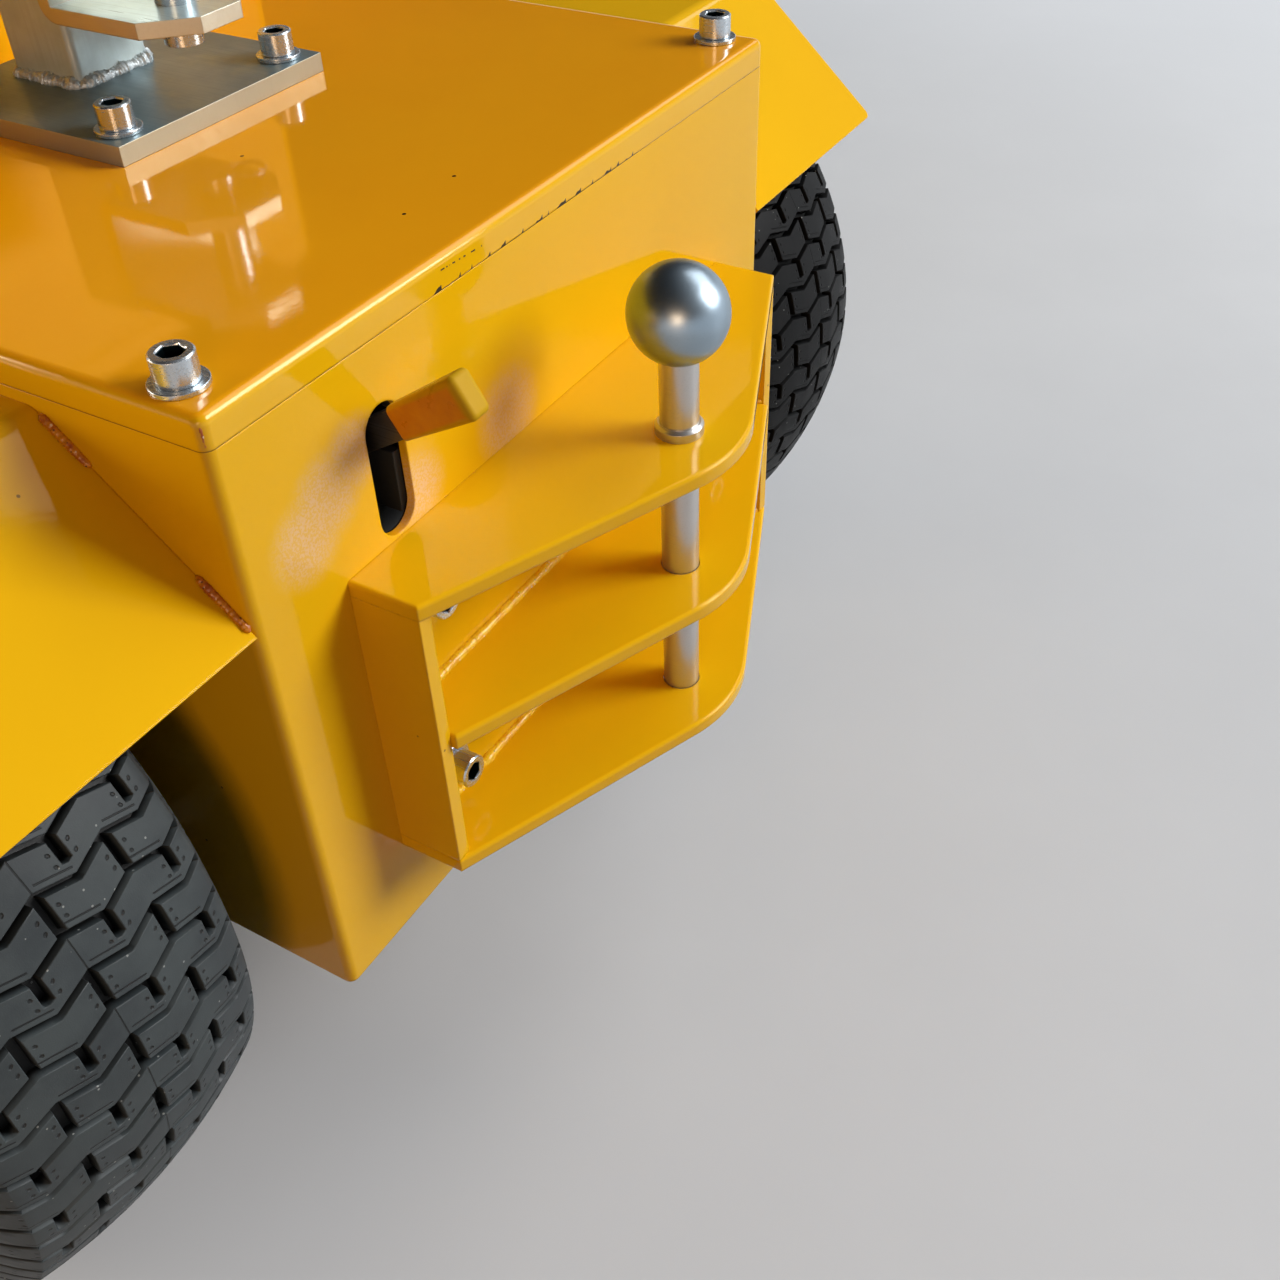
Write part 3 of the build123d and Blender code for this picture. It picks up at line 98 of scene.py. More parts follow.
# Socket screws: head radius, head height and width across the key's flats. Hexagon bolts and nuts: width
# across the flats and height. Wheel nuts also have the length of the stud's end above them.
M12_HEAD = (9 * MM, 12 * MM, 10 * MM)
WHEEL_NUT = (19 * MM, 10 * MM, 6 * MM)
AXLE_BOLT = (13 * MM, 5.5 * MM)
GEAR_BOLT = (10 * MM, 6 * MM)
BRACKET_BOLT = (16 * MM, 9 * MM)
CASTER_BOLT = (16 * MM, 7 * MM)
WASHER_RADIUS = 12 * MM
WASHER = 2.4 * MM
LID_SCREW_AHEAD = 23.5 * MM
LID_SCREW_SIDE = 214.5 * MM
BASE_SCREW_INSET = 16 * MM
HITCH_SCREW_SIDE = 136 * MM
HITCH_SCREWS_BELOW = (144.5 * MM, 259 * MM)
STUD_RING = 56 * MM
STUDS = 6

# Seats of the wheel nuts, valves, bolts and hinge screws
RIM_DISC = 8 * MM
VALVE_FOOT = 33 * MM
VALVE_RING = 86 * MM
VALVE_ANGLE = 0.6
AXLE_FLANGE = 10 * MM
AXLE_BOLT_RING = 47 * MM
GEAR_FLANGE_X = WHEEL_X + 142 * MM
GEAR_BOLT_RING = 53.5 * MM
BRACKET_PLATE = 8 * MM
BRACKET_WASHER = (10 * MM, 0, 1.6 * MM)
BRACKET_BOLT_SIDE = 51 * MM
BRACKET_BOLT_RISES = (-66 * MM, 40 * MM)
CASTER_BOLT_INSET = 12 * MM
CASTER_PLATE_UNDER = 260 * MM
HINGE_SIDE = 130 * MM
HINGE_SCREW = 18 * MM
HINGE_LEAF = 3 * MM
HINGE_SCREW_RISE = 8 * MM

# Sheets, the sizes of their weld beads, the release lever and the slot that it comes out of
WALL = 5 * MM
LID_CORNER = 5 * MM
FENDER_BEND = 95 * MM
FENDER_EDGE_BELOW = 104 * MM
FENDER_STITCHES = ((3 * MM, 34 * MM), (93 * MM, 121 * MM))
HITCH_FACE = REAR - 8 * MM
HITCH_CHEEK = 8 * MM
BEAD_RINGS = 0.55 * MM
BEAD_RIPPLE = 2.3 * MM
BEAD_UNEVEN = 6 * MM
HITCH_BEAD = 2.5 * MM
CHEEK_BEAD = 1.8 * MM
FOOT_BEAD = 3.8 * MM
CLEVIS_BEAD = 2.2 * MM
FENDER_BEAD = 1.9 * MM
CORNER_BEAD = 0.8 * MM
SLOT_SIDE = 135.3 * MM
SLOT_MIDDLE = 78 * MM
LEVER_MOUTH = (REAR, SLOT_SIDE, DECK - 56.8 * MM)
LEVER_AXIS = (-math.cos(math.radians(32)), 0, math.sin(math.radians(32)))
LEVER_HALF_TALL = 7 * MM
LEVER_OUT = 56 * MM

# Marks on the coat: dark specks on the lid as (ahead of its rear, to the left), on the rear wall round the
# slot the spots of painted reflection, where pale flecks in the coarse peel stand in for the mirrored floor,
# as (to the left, below the deck, reach) with their colour, and the height of the peel, with what is added
# round the slot and the distances over which that fades
LID_SPECKS = ((153.5 * MM, 37.9 * MM), (44.6 * MM, 10.8 * MM), (40.0 * MM, 55.7 * MM))
SPECK_RADIUS = 1.0 * MM
PAINTED_GLEAMS = ((156 * MM, 58 * MM, 22 * MM), (176 * MM, 68 * MM, 26 * MM), (192 * MM, 80 * MM, 26 * MM),
          (120 * MM, 98 * MM, 24 * MM), (46 * MM, 98 * MM, 30 * MM))
# painted reflection: colour of the pale flecks round the slot
PAINTED_GLEAM_COLOUR = (232, 196, 160)
PEEL = 0.012
SLOT_PEEL = 0.045
SLOT_PEEL_REACH = (125 * MM, 45 * MM)

# Chips on the lid's seam: their period, the stretches along the rear wall where they set in and end, and the
# row of specks above them, as (middle, half its length, height above the seam)
CHIP_PERIOD = 12.5 * MM
CHIPS_START = (-100 * MM, -80 * MM)
CHIPS_END = (110 * MM, 85 * MM)
SPECK_ROW = (70 * MM, 17 * MM, 4.6 * MM)

# Tiller: its frame's rows are its own axes, Z running up the arm from the pivot
TILLER_PLACE = np.array((FRONT + 46 * MM, 0, DECK + 34 * MM))
TILLER_LEAN = math.radians(9)
TILLER_TURN = np.array(((math.cos(TILLER_LEAN), 0, math.sin(TILLER_LEAN)), (0, 1, 0),
                        (-math.sin(TILLER_LEAN), 0, math.cos(TILLER_LEAN))))
HEAD_TOP = 642 * MM
HEAD_HALF_DEPTH = 29 * MM
CROWN_HALF = 66 * MM
BAR_SIDE = 165 * MM
GRIP_FOOT = 610 * MM
GRIP_LENGTH = 72 * MM
GRIP_RIBS = 12
THUMB_LEVER = (9 * MM, 15 * MM)
THUMB_LEVER_BELOW = 24 * MM
SIGNAL_BELOW = 34 * MM
REVERSING_PAD = (13 * MM, 34 * MM)

# Hood slope: its frame's rows are its own axes, Z square to the sheet, from the slope's middle
SLOPE_START = HOOD + 372 * MM
SLOPE_DROP = 105 * MM
SLOPE_TILT = math.atan2(SLOPE_DROP, FRONT - SLOPE_START)
SLOPE_PLACE = np.array(((SLOPE_START + FRONT) / 2, 0, DECK + 205 * MM - SLOPE_DROP / 2))
SLOPE_TURN = np.array(((math.cos(SLOPE_TILT), 0, -math.sin(SLOPE_TILT)), (0, 1, 0),
                       (math.sin(SLOPE_TILT), 0, math.cos(SLOPE_TILT))))
STOP_COLLAR = 9.3 * MM
METER_PLACE = SLOPE_PLACE + np.array((0, -68 * MM, 12 * MM)) @ SLOPE_TURN
DIAL_SPREAD = 1.1
DIAL_READING = -0.55
DIAL_TICKS = (16.4 * MM, 1.8 * MM)
DIAL_BAND = (12.4 * MM, 1.1 * MM)
DIAL_POINTER = 15 * MM
DIAL_HUB = 2.4 * MM
KEY_SIDE = -128 * MM
KEY_TOP = 19 * MM
KEY_BOW_RISE = 15 * MM
KEY_BOW = (8 * MM, 9 * MM, 1.3 * MM)
KEY_BLADE = (3.6 * MM, 1.0 * MM)

# Batteries
BATTERY_CELLS = 6
TERMINAL_INSET = 28 * MM

# Light: each lamp's name, target, direction from which it shines, distance, size, power and colour; then
# the heights where the pale horizon fades, and the distances over which the floor's own glow sets in
KEY_DIRECTION = (-0.71, -0.51, 0.48)
REAR_TARGET = (-0.4, 0, 0.3)
LAMPS = (
    ("rear_key", REAR_TARGET, KEY_DIRECTION, 6.0, (2.6, 2.6), 335, (1, 1, 1)),
    ("high_key", REAR_TARGET, (-0.25, -0.66, 0.71), 4.0, (2.2, 2.2), 44, (1, 1, 1)),
    ("front_fill", (0, 0, 0.4), (0.87, 0.47, 0.15), 6.0, (3.1, 2.4), 225, (1.0, 0.82, 0.64)),
    ("side_window", (-0.4, 0, 0.4), (-0.45, 0.86, 0.25), 3.5, (1.2, 0.9), 28, (1.0, 0.62, 0.36)),
)
HORIZON = (0.14, 0.26)
FLOOR_HALF = 30.0
FLOOR_BOUNCE = (0.07, 0.07, 0.07, 1)
PALE_SKY = (0.72, 0.75, 0.79, 1)
GLOW_REACH = (1.0, 3.2)

# Camera
CAMERA_PLACE = (-0.7918, 0.5153, 0.7520)
CAMERA_RIGHT = (-0.8655, -0.5002, -0.0261)
CAMERA_UP = (0.3124, -0.5798, 0.7525)
CAMERA_LENS = 38.84


# Mesh helpers

def surface(points, ring=False):
    """Closed skin over a grid of points (rows, columns, 3): the columns wrap round, and the rows wrap
    round too when ring is set, or else end in flat caps. The sign of the volume turns the faces outwards."""
    rows, columns = points.shape[:2]
    index = np.arange(rows * columns).reshape(rows, columns)
    near = index if ring else index[:-1]
    far = np.roll(index, -1, axis=0) if ring else index[1:]
    around = [near, far, np.roll(far, -1, axis=1), np.roll(near, -1, axis=1)]
    quads = np.stack(around, axis=-1).reshape(-1, 4)
    caps = np.zeros((0, columns), int) if ring else np.stack([index[0], index[-1][::-1]])
    flat = points.reshape(-1, 3)
    if volume(flat, quads) + volume(flat, caps) < 0:
        quads, caps = quads[:, ::-1], caps[:, ::-1]
    return flat, quads, caps


def volume(points, faces):
    """Six times the volume between the faces and the middle of the points, each face taken as a fan."""
    fan = (points - points.mean(axis=0))[faces]
    first = np.broadcast_to(fan[:, :1], fan[:, 1:-1].shape)
    return np.sum(first * np.cross(fan[:, 1:-1], fan[:, 2:]))


def join(shells):
    """One array of points and one list of faces from several shells."""
    starts = np.cumsum([0] + [len(shell[0]) for shell in shells])
    faces = []
    for start, (_, quads, caps) in zip(starts, shells):
        faces += (quads + start).tolist() + (caps + start).tolist()
    return np.concatenate([shell[0] for shell in shells]), faces


def add_piece(name, shells, body, material, crease=38):
    """A mesh object from shells, smooth where faces meet at less than the crease, riding on a body."""
    points, faces = join(shells)
    mesh = bpy.data.meshes.new(name)
    mesh.from_pydata(points.tolist(), [], faces)
    mesh.update()
    mesh.shade_smooth()
    mesh.set_sharp_from_angle(angle=math.radians(crease))
    mesh.materials.append(material)
    piece = bpy.data.objects.new(name, mesh)
    bpy.context.scene.collection.objects.link(piece)
    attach(piece, body)
    return piece


def scaled(outline):
    """A profile in millimetres turned into metres; the hexagon share stays."""
    return [(radius * MM, height * MM, share) for radius, height, share in outline]


def frame_at(place, out, along=UP):
    """Rotation and place for local shapes: local z runs along out, and local x is the part of along that
    is square to it."""
    z = np.array(out, float)
    z /= np.linalg.norm(z)
    x = np.array(along, float)
    x -= z * (x @ z)
    if np.linalg.norm(x) < 1e-6:
        x = np.array((1.0, 0, 0)) - z * z[0]
    x /= np.linalg.norm(x)
    return np.stack([x, np.cross(z, x), z]), np.array(place, float)


def turned(outline, placing, segments=48):
    """A profile of (radius, height, hexagon share) rings turned about local z. A share of 1 makes the
    ring a hexagon, r(a) = radius / cos(a folded into one sixth of a turn), and 0 leaves it a circle."""
    angle = np.arange(segments) * 2 * math.pi / segments
    fold = (angle + math.pi / 6) % (math.pi / 3) - math.pi / 6
    radius, height, share = (np.array(column)[:, None] for column in zip(*outline))
    spread = radius * (1 + share * (1 / np.cos(fold)[None] - 1))
    local = np.stack([spread * np.cos(angle), spread * np.sin(angle), height + 0 * spread], axis=-1)
    turn, place = placing
    return surface(local @ turn + place)


def cap_screw(placing):
    """Socket head screw: a chamfered cylinder with a hexagonal recess, on a flat washer."""
    radius, height, key = M12_HEAD
    top = WASHER + height
    outline = [(radius * 0.93, WASHER, 0), (radius, WASHER + 0.4 * MM, 0), (radius, top - 0.7 * MM, 0),
               (radius - 0.7 * MM, top, 0), (key / 2 + 0.7 * MM, top, 0.4), (key / 2, top - 0.6 * MM, 1),
               (key / 2, top - height * 0.55, 1), (key / 2 * 0.98, top - height * 0.58, 1)]
    return [turned(outline, placing), washer_ring(placing, WASHER_RADIUS, 0, WASHER)]


def washer_ring(placing, radius, low, high):
    """Flat washer with slightly rounded rims."""
    bevel = 0.3 * MM
    return turned([(radius - bevel, low, 0), (radius, low + bevel, 0), (radius, high - bevel, 0),
                   (radius - bevel, high, 0)], placing)


def socket_shade_cup(placing):
    """Painted shade in a socket: a thin dark hexagonal cup that fills the recess of a screw's head."""
    _, height, key = M12_HEAD
    top = WASHER + height - 0.7 * MM
    low = top - height * 0.5
    return turned([(key / 2 * 0.985, low, 1), (key / 2 * 0.985, top, 1), (key / 2 * 0.93, top, 1),
                   (key / 2 * 0.9, low + 0.6 * MM, 1)], placing)


def hex_head(placing, flats, height, stud=0.0):
    """Hexagon nut or bolt head: a hexagonal prism with its corners turned off, and on a nut the stud's
    end above it."""
    half = flats / 2
    rings = [(half * 0.97, 0, 0), (half, 0.4 * MM, 1), (half, height - 1.0 * MM, 1),
             (half * 0.985, height - 0.5 * MM, 0.6), (half * 0.93, height, 0)]
    shells = [turned(rings, placing)]
    if stud:
        bore = flats * 0.31
        shells.append(turned([(bore, height * 0.5, 0), (bore, height + stud - 0.8 * MM, 0),
                              (bore - 0.8 * MM, height + stud, 0)], placing, 24))
    return shells


def weld_bead(path, size, seed, across=UP, steps=0.13, lumps=0.07):
    """A round bead carried along a path: each ring is square to it, with radius = size * (1 + ripple of
    the welder's steps + slow unevenness) * (1 + random lumps), and the ends taper off."""
    rng = np.random.default_rng(seed)
    path = np.array(path, float)
    step = np.linalg.norm(np.diff(path, axis=0), axis=1)
    run = np.concatenate([[0], np.cumsum(step)])
    count = max(12, int(run[-1] / BEAD_RINGS))
    s = np.linspace(0, run[-1], count)
    line = np.stack([np.interp(s, run, path[:, i]) for i in range(3)], axis=1)
    tangent = np.gradient(line, axis=0)
    tangent /= np.linalg.norm(tangent, axis=1)[:, None]
    side = np.cross(tangent, np.array(across, float))
    side /= np.linalg.norm(side, axis=1)[:, None]
    up = np.cross(side, tangent)
    knots = np.linspace(0, run[-1], max(4, int(run[-1] / BEAD_UNEVEN)))
    uneven = np.interp(s, knots, rng.normal(0, 0.14, len(knots)))
    ripple = steps * np.abs(np.sin(math.pi * s / BEAD_RIPPLE + 2 * uneven))
    ends = np.minimum(1, np.minimum(s, run[-1] - s) / (1.5 * size) + 0.35)
    radius = size * (1 + ripple + uneven) * ends
    angle = np.linspace(0, 2 * math.pi, 12, endpoint=False)
    ring = radius[:, None] * (1 + lumps * rng.normal(0, 1, (count, 12)))
    points = line[:, None] + ring[..., None] * (np.cos(angle)[None, :, None] * side[:, None]
                                                + np.sin(angle)[None, :, None] * up[:, None])
    return surface(points)


# Node helpers

def node(tree, kind, inputs=None, **settings):
    """Adds a node, with settings as attributes and inputs as values or sockets by name or number."""
    made = tree.nodes.new(kind)
    for key, value in settings.items():
        setattr(made, key, value)
    for key, value in (inputs or {}).items():
        if isinstance(value, bpy.types.NodeSocket):
            tree.links.new(value, made.inputs[key])
        else:
            made.inputs[key].default_value = value
    return made


def calc(tree, operation, *values, clamp=False):
    """Output of a Math node."""
    made = node(tree, "ShaderNodeMath", dict(enumerate(values)), operation=operation, use_clamp=clamp)
    return made.outputs[0]


def ramp(tree, value, low, high, start=0.0, end=1.0):
    """Output of a smooth Map Range node."""
    spans = {"Value": value, "From Min": low, "From Max": high, "To Min": start, "To Max": end}
    return node(tree, "ShaderNodeMapRange", spans, interpolation_type="SMOOTHSTEP").outputs["Result"]


def noise(tree, point, scale, detail, roughness=0.5):
    """Output of a Noise Texture node."""
    inputs = {"Vector": point, "Scale": scale, "Detail": detail, "Roughness": roughness}
    return node(tree, "ShaderNodeTexNoise", inputs).outputs["Fac"]


def line_noise(tree, run, scale):
    """Output of a Noise Texture node along one direction."""
    inputs = {"W": run, "Scale": scale, "Detail": 2.0}
    return node(tree, "ShaderNodeTexNoise", inputs, noise_dimensions="1D").outputs["Fac"]


def bump(tree, normal, height, depth):
    """Normal output of a Bump node of full strength, as deep as given."""
    inputs = {"Strength": 1.0, "Distance": depth, "Normal": normal, "Height": height}
    return node(tree, "ShaderNodeBump", inputs).outputs[0]


def blend_colour(tree, share, first, second):
    """Output of a colour Mix node."""
    made = node(tree, "ShaderNodeMix", data_type="RGBA")
    for name, value in (("Factor_Float", share), ("A_Color", first), ("B_Color", second)):
        socket = next(s for s in made.inputs if s.identifier == name)
        if isinstance(value, bpy.types.NodeSocket):
            tree.links.new(value, socket)
        else:
            socket.default_value = value
    return next(s for s in made.outputs if s.identifier == "Result_Color")


def new_group(name, inputs, outputs):
    """A shader node group with named sockets, from (name, default) and (name, socket type) pairs."""
    tree = bpy.data.node_groups.new(name, "ShaderNodeTree")
    for label, default in inputs:
        socket = tree.interface.new_socket(label, in_out="INPUT", socket_type="NodeSocketFloat")
        socket.default_value = default
    for label, kind in outputs:
        tree.interface.new_socket(label, in_out="OUTPUT", socket_type=kind)
    return tree, tree.nodes.new("NodeGroupInput").outputs, tree.nodes.new("NodeGroupOutput").inputs


def use(tree, group, **values):
    """Places a group in a material. Underscores in names stand for spaces."""
    made = node(tree, "ShaderNodeGroup", node_tree=group)
    for key, value in values.items():
        socket = made.inputs[key.replace("_", " ")]
        if isinstance(value, bpy.types.NodeSocket):
            tree.links.new(value, socket)
        else:
            socket.default_value = value
    return made.outputs


def object_point(tree):
    """Object coordinates."""
    return node(tree, "ShaderNodeTexCoord").outputs["Object"]


def facing_up(tree):
    """Z of the surface's own normal: 1 on level tops and 0 on upright faces."""
    normal = node(tree, "ShaderNodeTexCoord").outputs["Normal"]
    return node(tree, "ShaderNodeSeparateXYZ", {0: normal}).outputs[2]


# Shared effects

def make_grain():
    """Fine skin on an edge-rounded surface: noise bump over the Bevel node's normal."""
    tree, given, put = new_group("skin_grain", (("Scale", 600.0), ("Height", 0.02), ("Edge", 0.0008)),
                                 (("Normal", "NodeSocketVector"), ("Value", "NodeSocketFloat")))
    grain = noise(tree, object_point(tree), given["Scale"], 3.0, 0.45)
    rounded = node(tree, "ShaderNodeBevel", {"Radius": given["Edge"]}, samples=6)
    height = calc(tree, "MULTIPLY", grain, given["Height"])
    tree.links.new(bump(tree, rounded.outputs[0], height, MM), put["Normal"])
    tree.links.new(grain, put["Value"])
    return tree


def make_edge_mask():
    """Mask of sharp edges: how far the rounded normal leans from the true one."""
    tree, given, put = new_group("edge_mask", (("Radius", 0.002), ("Sharpness", 0.25)),
                                 (("Mask", "NodeSocketFloat"),))
    rounded = node(tree, "ShaderNodeBevel", {"Radius": given["Radius"]}, samples=6)
    true = node(tree, "ShaderNodeNewGeometry").outputs["True Normal"]
    lean = node(tree, "ShaderNodeVectorMath", {0: rounded.outputs[0], 1: true}, operation="DOT_PRODUCT")
    off = calc(tree, "SUBTRACT", 1.0, lean.outputs["Value"])
    tree.links.new(ramp(tree, off, 0.02, given["Sharpness"]), put["Mask"])
    return tree


def make_blotches():
    """Slow uneven mask, for colour that drifts over a panel."""
    tree, given, put = new_group("blotches", (("Scale", 6.0), ("Low", 0.35), ("High", 0.65)),
                                 (("Mask", "NodeSocketFloat"),))
    cloud = noise(tree, object_point(tree), given["Scale"], 5.0, 0.6)
    tree.links.new(ramp(tree, cloud, given["Low"], given["High"]), put["Mask"])
    return tree


def make_scratches():
    """Fine straight marks: noise stretched along one direction, kept only where it is highest."""
    inputs = (("Turn", 0.6), ("Along", 9.0), ("Across", 900.0), ("Amount", 0.62))
    tree, given, put = new_group("scratches", inputs, (("Mask", "NodeSocketFloat"),))
    less = calc(tree, "MULTIPLY", given["Turn"], 0.7)
    turn = node(tree, "ShaderNodeCombineXYZ", {0: given["Turn"], 1: less, 2: given["Turn"]})
    stretch = node(tree, "ShaderNodeCombineXYZ", {0: given["Along"], 1: given["Across"], 2: given["Across"]})
    mapped = node(tree, "ShaderNodeMapping", {"Vector": object_point(tree), "Rotation": turn.outputs[0],
                                              "Scale": stretch.outputs[0]})
    edge = calc(tree, "ADD", given["Amount"], 0.06)
    tree.links.new(ramp(tree, noise(tree, mapped.outputs[0], 1.0, 1.0), given["Amount"], edge), put["Mask"])
    return tree


def make_specks():
    """Tiny separate flecks of dust: cells of a Voronoi pattern, only the few whose random value is high."""
    tree, given, put = new_group("specks", (("Scale", 260.0), ("Size", 0.16), ("Amount", 0.93)),
                                 (("Mask", "NodeSocketFloat"),))
    cells = node(tree, "ShaderNodeTexVoronoi", {"Vector": object_point(tree), "Scale": given["Scale"]})
    pick = node(tree, "ShaderNodeSeparateColor", {0: cells.outputs["Color"]})
    chosen = calc(tree, "GREATER_THAN", pick.outputs[0], given["Amount"])
    near = calc(tree, "LESS_THAN", cells.outputs["Distance"], given["Size"])
    tree.links.new(calc(tree, "MULTIPLY", chosen, near), put["Mask"])
    return tree


def make_brushing():
    """Fine lines of a brushed or drawn face: noise stretched by its own factor along each axis."""
    inputs = (("Along X", 10.0), ("Along Y", 900.0), ("Along Z", 900.0))
    tree, given, put = new_group("brushing", inputs, (("Value", "NodeSocketFloat"),))
    stretch = node(tree, "ShaderNodeCombineXYZ", {i: given[i] for i in range(3)})
    mapped = node(tree, "ShaderNodeVectorMath", {0: object_point(tree), 1: stretch.outputs[0]},
                  operation="MULTIPLY")
    tree.links.new(noise(tree, mapped.outputs[0], 1.0, 3.0, 0.6), put["Value"])
    return tree


def make_seam():
    """Marks along the seam between lid and housing: a hairline all round, and behind the tow pin chips
    like saw teeth, highest at the start of each period and gone after a third of it, with a short row of
    specks above them."""
    tree, given, put = new_group("lid_seam", (("Width", 0.3 * MM), ("Tooth", 2.4 * MM)),
                                 (("Line", "NodeSocketFloat"), ("Chips", "NodeSocketFloat")))
    point = node(tree, "ShaderNodeSeparateXYZ", {0: object_point(tree)})
    x, y, z = point.outputs
    lift = calc(tree, "SUBTRACT", z, SEAM)
    uneven = line_noise(tree, y, 60.0)
    waver = calc(tree, "MULTIPLY", uneven, given["Width"])
    line = calc(tree, "LESS_THAN", calc(tree, "ABSOLUTE", lift), waver)
    tree.links.new(line, put["Line"])
    shift = calc(tree, "MULTIPLY_ADD", uneven, 2.6, 20.0)
    phase = calc(tree, "FRACT", calc(tree, "ADD", calc(tree, "DIVIDE", y, CHIP_PERIOD), shift))
    tooth = calc(tree, "MULTIPLY", calc(tree, "MULTIPLY_ADD", phase, -3.0, 1.0), given["Tooth"])
    height = calc(tree, "MAXIMUM", tooth, calc(tree, "MULTIPLY", waver, 1.6))
    above = calc(tree, "GREATER_THAN", lift, 0.0)
    inside = calc(tree, "MULTIPLY", calc(tree, "LESS_THAN", lift, height), above)
    stretch = calc(tree, "MULTIPLY", ramp(tree, y, *CHIPS_START), ramp(tree, y, *CHIPS_END))
    bare = calc(tree, "GREATER_THAN", calc(tree, "MULTIPLY", stretch, uneven), 0.36)
    fine = line_noise(tree, y, 260.0)
    middle, half, rise = SPECK_ROW
    tilted = calc(tree, "MULTIPLY_ADD", y, -0.05, lift)
    band = calc(tree, "COMPARE", tilted, rise, 0.35 * MM)
    spots = calc(tree, "MULTIPLY", band, calc(tree, "GREATER_THAN", fine, 0.52))
    spots = calc(tree, "MULTIPLY", spots, calc(tree, "COMPARE", y, middle, half))
    chips = calc(tree, "MAXIMUM", calc(tree, "MULTIPLY", inside, bare), spots)
    rear = calc(tree, "LESS_THAN", x, REAR + 1 * MM)
    tree.links.new(calc(tree, "MULTIPLY", chips, rear), put["Chips"])
    return tree


GRAIN = make_grain()
EDGES = make_edge_mask()
BLOTCHES = make_blotches()
SCRATCHES = make_scratches()
SPECKS = make_specks()
BRUSHING = make_brushing()
SEAM_MARKS = make_seam()


# Materials

def srgb(red, green, blue):
    """Linear colour from 8-bit display values."""
    values = [c / 255 for c in (red, green, blue)]
    return tuple(c / 12.92 if c <= 0.04045 else ((c + 0.055) / 1.055) ** 2.4 for c in values) + (1.0,)


def new_material(name):
    """A new material, its tree and the inputs of its Principled shader."""
    material = bpy.data.materials.new(name)
    material.use_nodes = True
    tree = material.node_tree
    shader = next(n for n in tree.nodes if n.type == "BSDF_PRINCIPLED")
    return material, tree, shader.inputs


def reach(tree, origin, direction):
    """How far the shaded point lies from an origin along a direction."""
    ends = {0: object_point(tree), 1: tuple(origin)}
    offset = node(tree, "ShaderNodeVectorMath", ends, operation="SUBTRACT").outputs[0]
    parts = {0: offset, 1: tuple(direction)}
    return node(tree, "ShaderNodeVectorMath", parts, operation="DOT_PRODUCT").outputs["Value"]


def distance(tree, centre):
    """Distance of the shaded point from a centre."""
    ends = {0: object_point(tree), 1: tuple(centre)}
    return node(tree, "ShaderNodeVectorMath", ends, operation="DISTANCE").outputs["Value"]


def painted_shade_inside(tree):
    """Mask of the faces inside the housing's walls and below its lid, which are coloured near black as
    painted shade.
    """
    point = node(tree, "ShaderNodeSeparateXYZ", {0: object_point(tree)})
    x, y, z = point.outputs
    skin = WALL - 0.8 * MM
    within = calc(tree, "LESS_THAN", calc(tree, "ABSOLUTE", y), HALF - skin)
    ahead = calc(tree, "MULTIPLY", calc(tree, "GREATER_THAN", x, REAR + skin),
                 calc(tree, "LESS_THAN", x, FRONT - skin))
    below = calc(tree, "LESS_THAN", z, DECK - 3.5 * MM)
    return calc(tree, "MULTIPLY", calc(tree, "MULTIPLY", within, ahead), below)


def painted_gleam_mask(tree):
    """Mask of the painted reflection on the rear wall: pale spots round the slot, broken up by the peel's
    grain.
    """
    mask = 0.0
    for side, below, size in PAINTED_GLEAMS:
        spot = ramp(tree, distance(tree, (REAR, side, DECK - below)), size, size * 0.3)
        mask = calc(tree, "MAXIMUM", mask, spot)
    grain = use(tree, GRAIN, Scale=900.0)["Value"]
    return calc(tree, "MULTIPLY", mask, ramp(tree, grain, 0.40, 0.62, 0.3, 0.72))


def body_coat(tree, base, rough, drift):
    """Colour, roughness and height of the peel on the sheets of the body: level tops get a warm tint as
    painted light, the lid is specked, the peel is coarse round the lever's slot and holds painted reflection
    there, the lid's seam is marked and the faces inside the housing are coloured near black as painted
    shade."""
    # painted light: level tops are given a warmer tint, standing in for warm light from above
    painted_warm_light = blend_colour(tree, drift, PAINTED_WARM_TOP, PAINTED_WARM_TOP_DRIFT)
    base = blend_colour(tree, ramp(tree, facing_up(tree), 0.5, 0.95), base, painted_warm_light)
    seam = use(tree, SEAM_MARKS)
    base = blend_colour(tree, calc(tree, "MULTIPLY", seam["Line"], 0.7), base, srgb(120, 70, 8))
    base = blend_colour(tree, seam["Chips"], base, srgb(26, 18, 8))
    for ahead, side in LID_SPECKS:
        speck = calc(tree, "LESS_THAN", distance(tree, (REAR + ahead, side, DECK)), SPECK_RADIUS)
        base = blend_colour(tree, speck, base, srgb(40, 30, 16))
    # painted reflection: pale flecks round the slot, where the coarse peel mirrors the floor
    base = blend_colour(tree, painted_gleam_mask(tree), base, srgb(*PAINTED_GLEAM_COLOUR))
    rough = calc(tree, "ADD", rough, calc(tree, "MULTIPLY", seam["Chips"], 0.5))
    # painted shade: faces inside the housing, seen through the lever's slot, are coloured near black and
    # made rough
    dark = painted_shade_inside(tree)
    base = blend_colour(tree, dark, base, srgb(22, 17, 12))
    rough = calc(tree, "ADD", rough, calc(tree, "MULTIPLY", dark, 0.6))
    slot = distance(tree, (REAR, SLOT_SIDE, DECK - SLOT_MIDDLE))
    coarse = calc(tree, "MULTIPLY", ramp(tree, slot, *SLOT_PEEL_REACH), SLOT_PEEL)
    return base, rough, calc(tree, "ADD", PEEL, coarse)


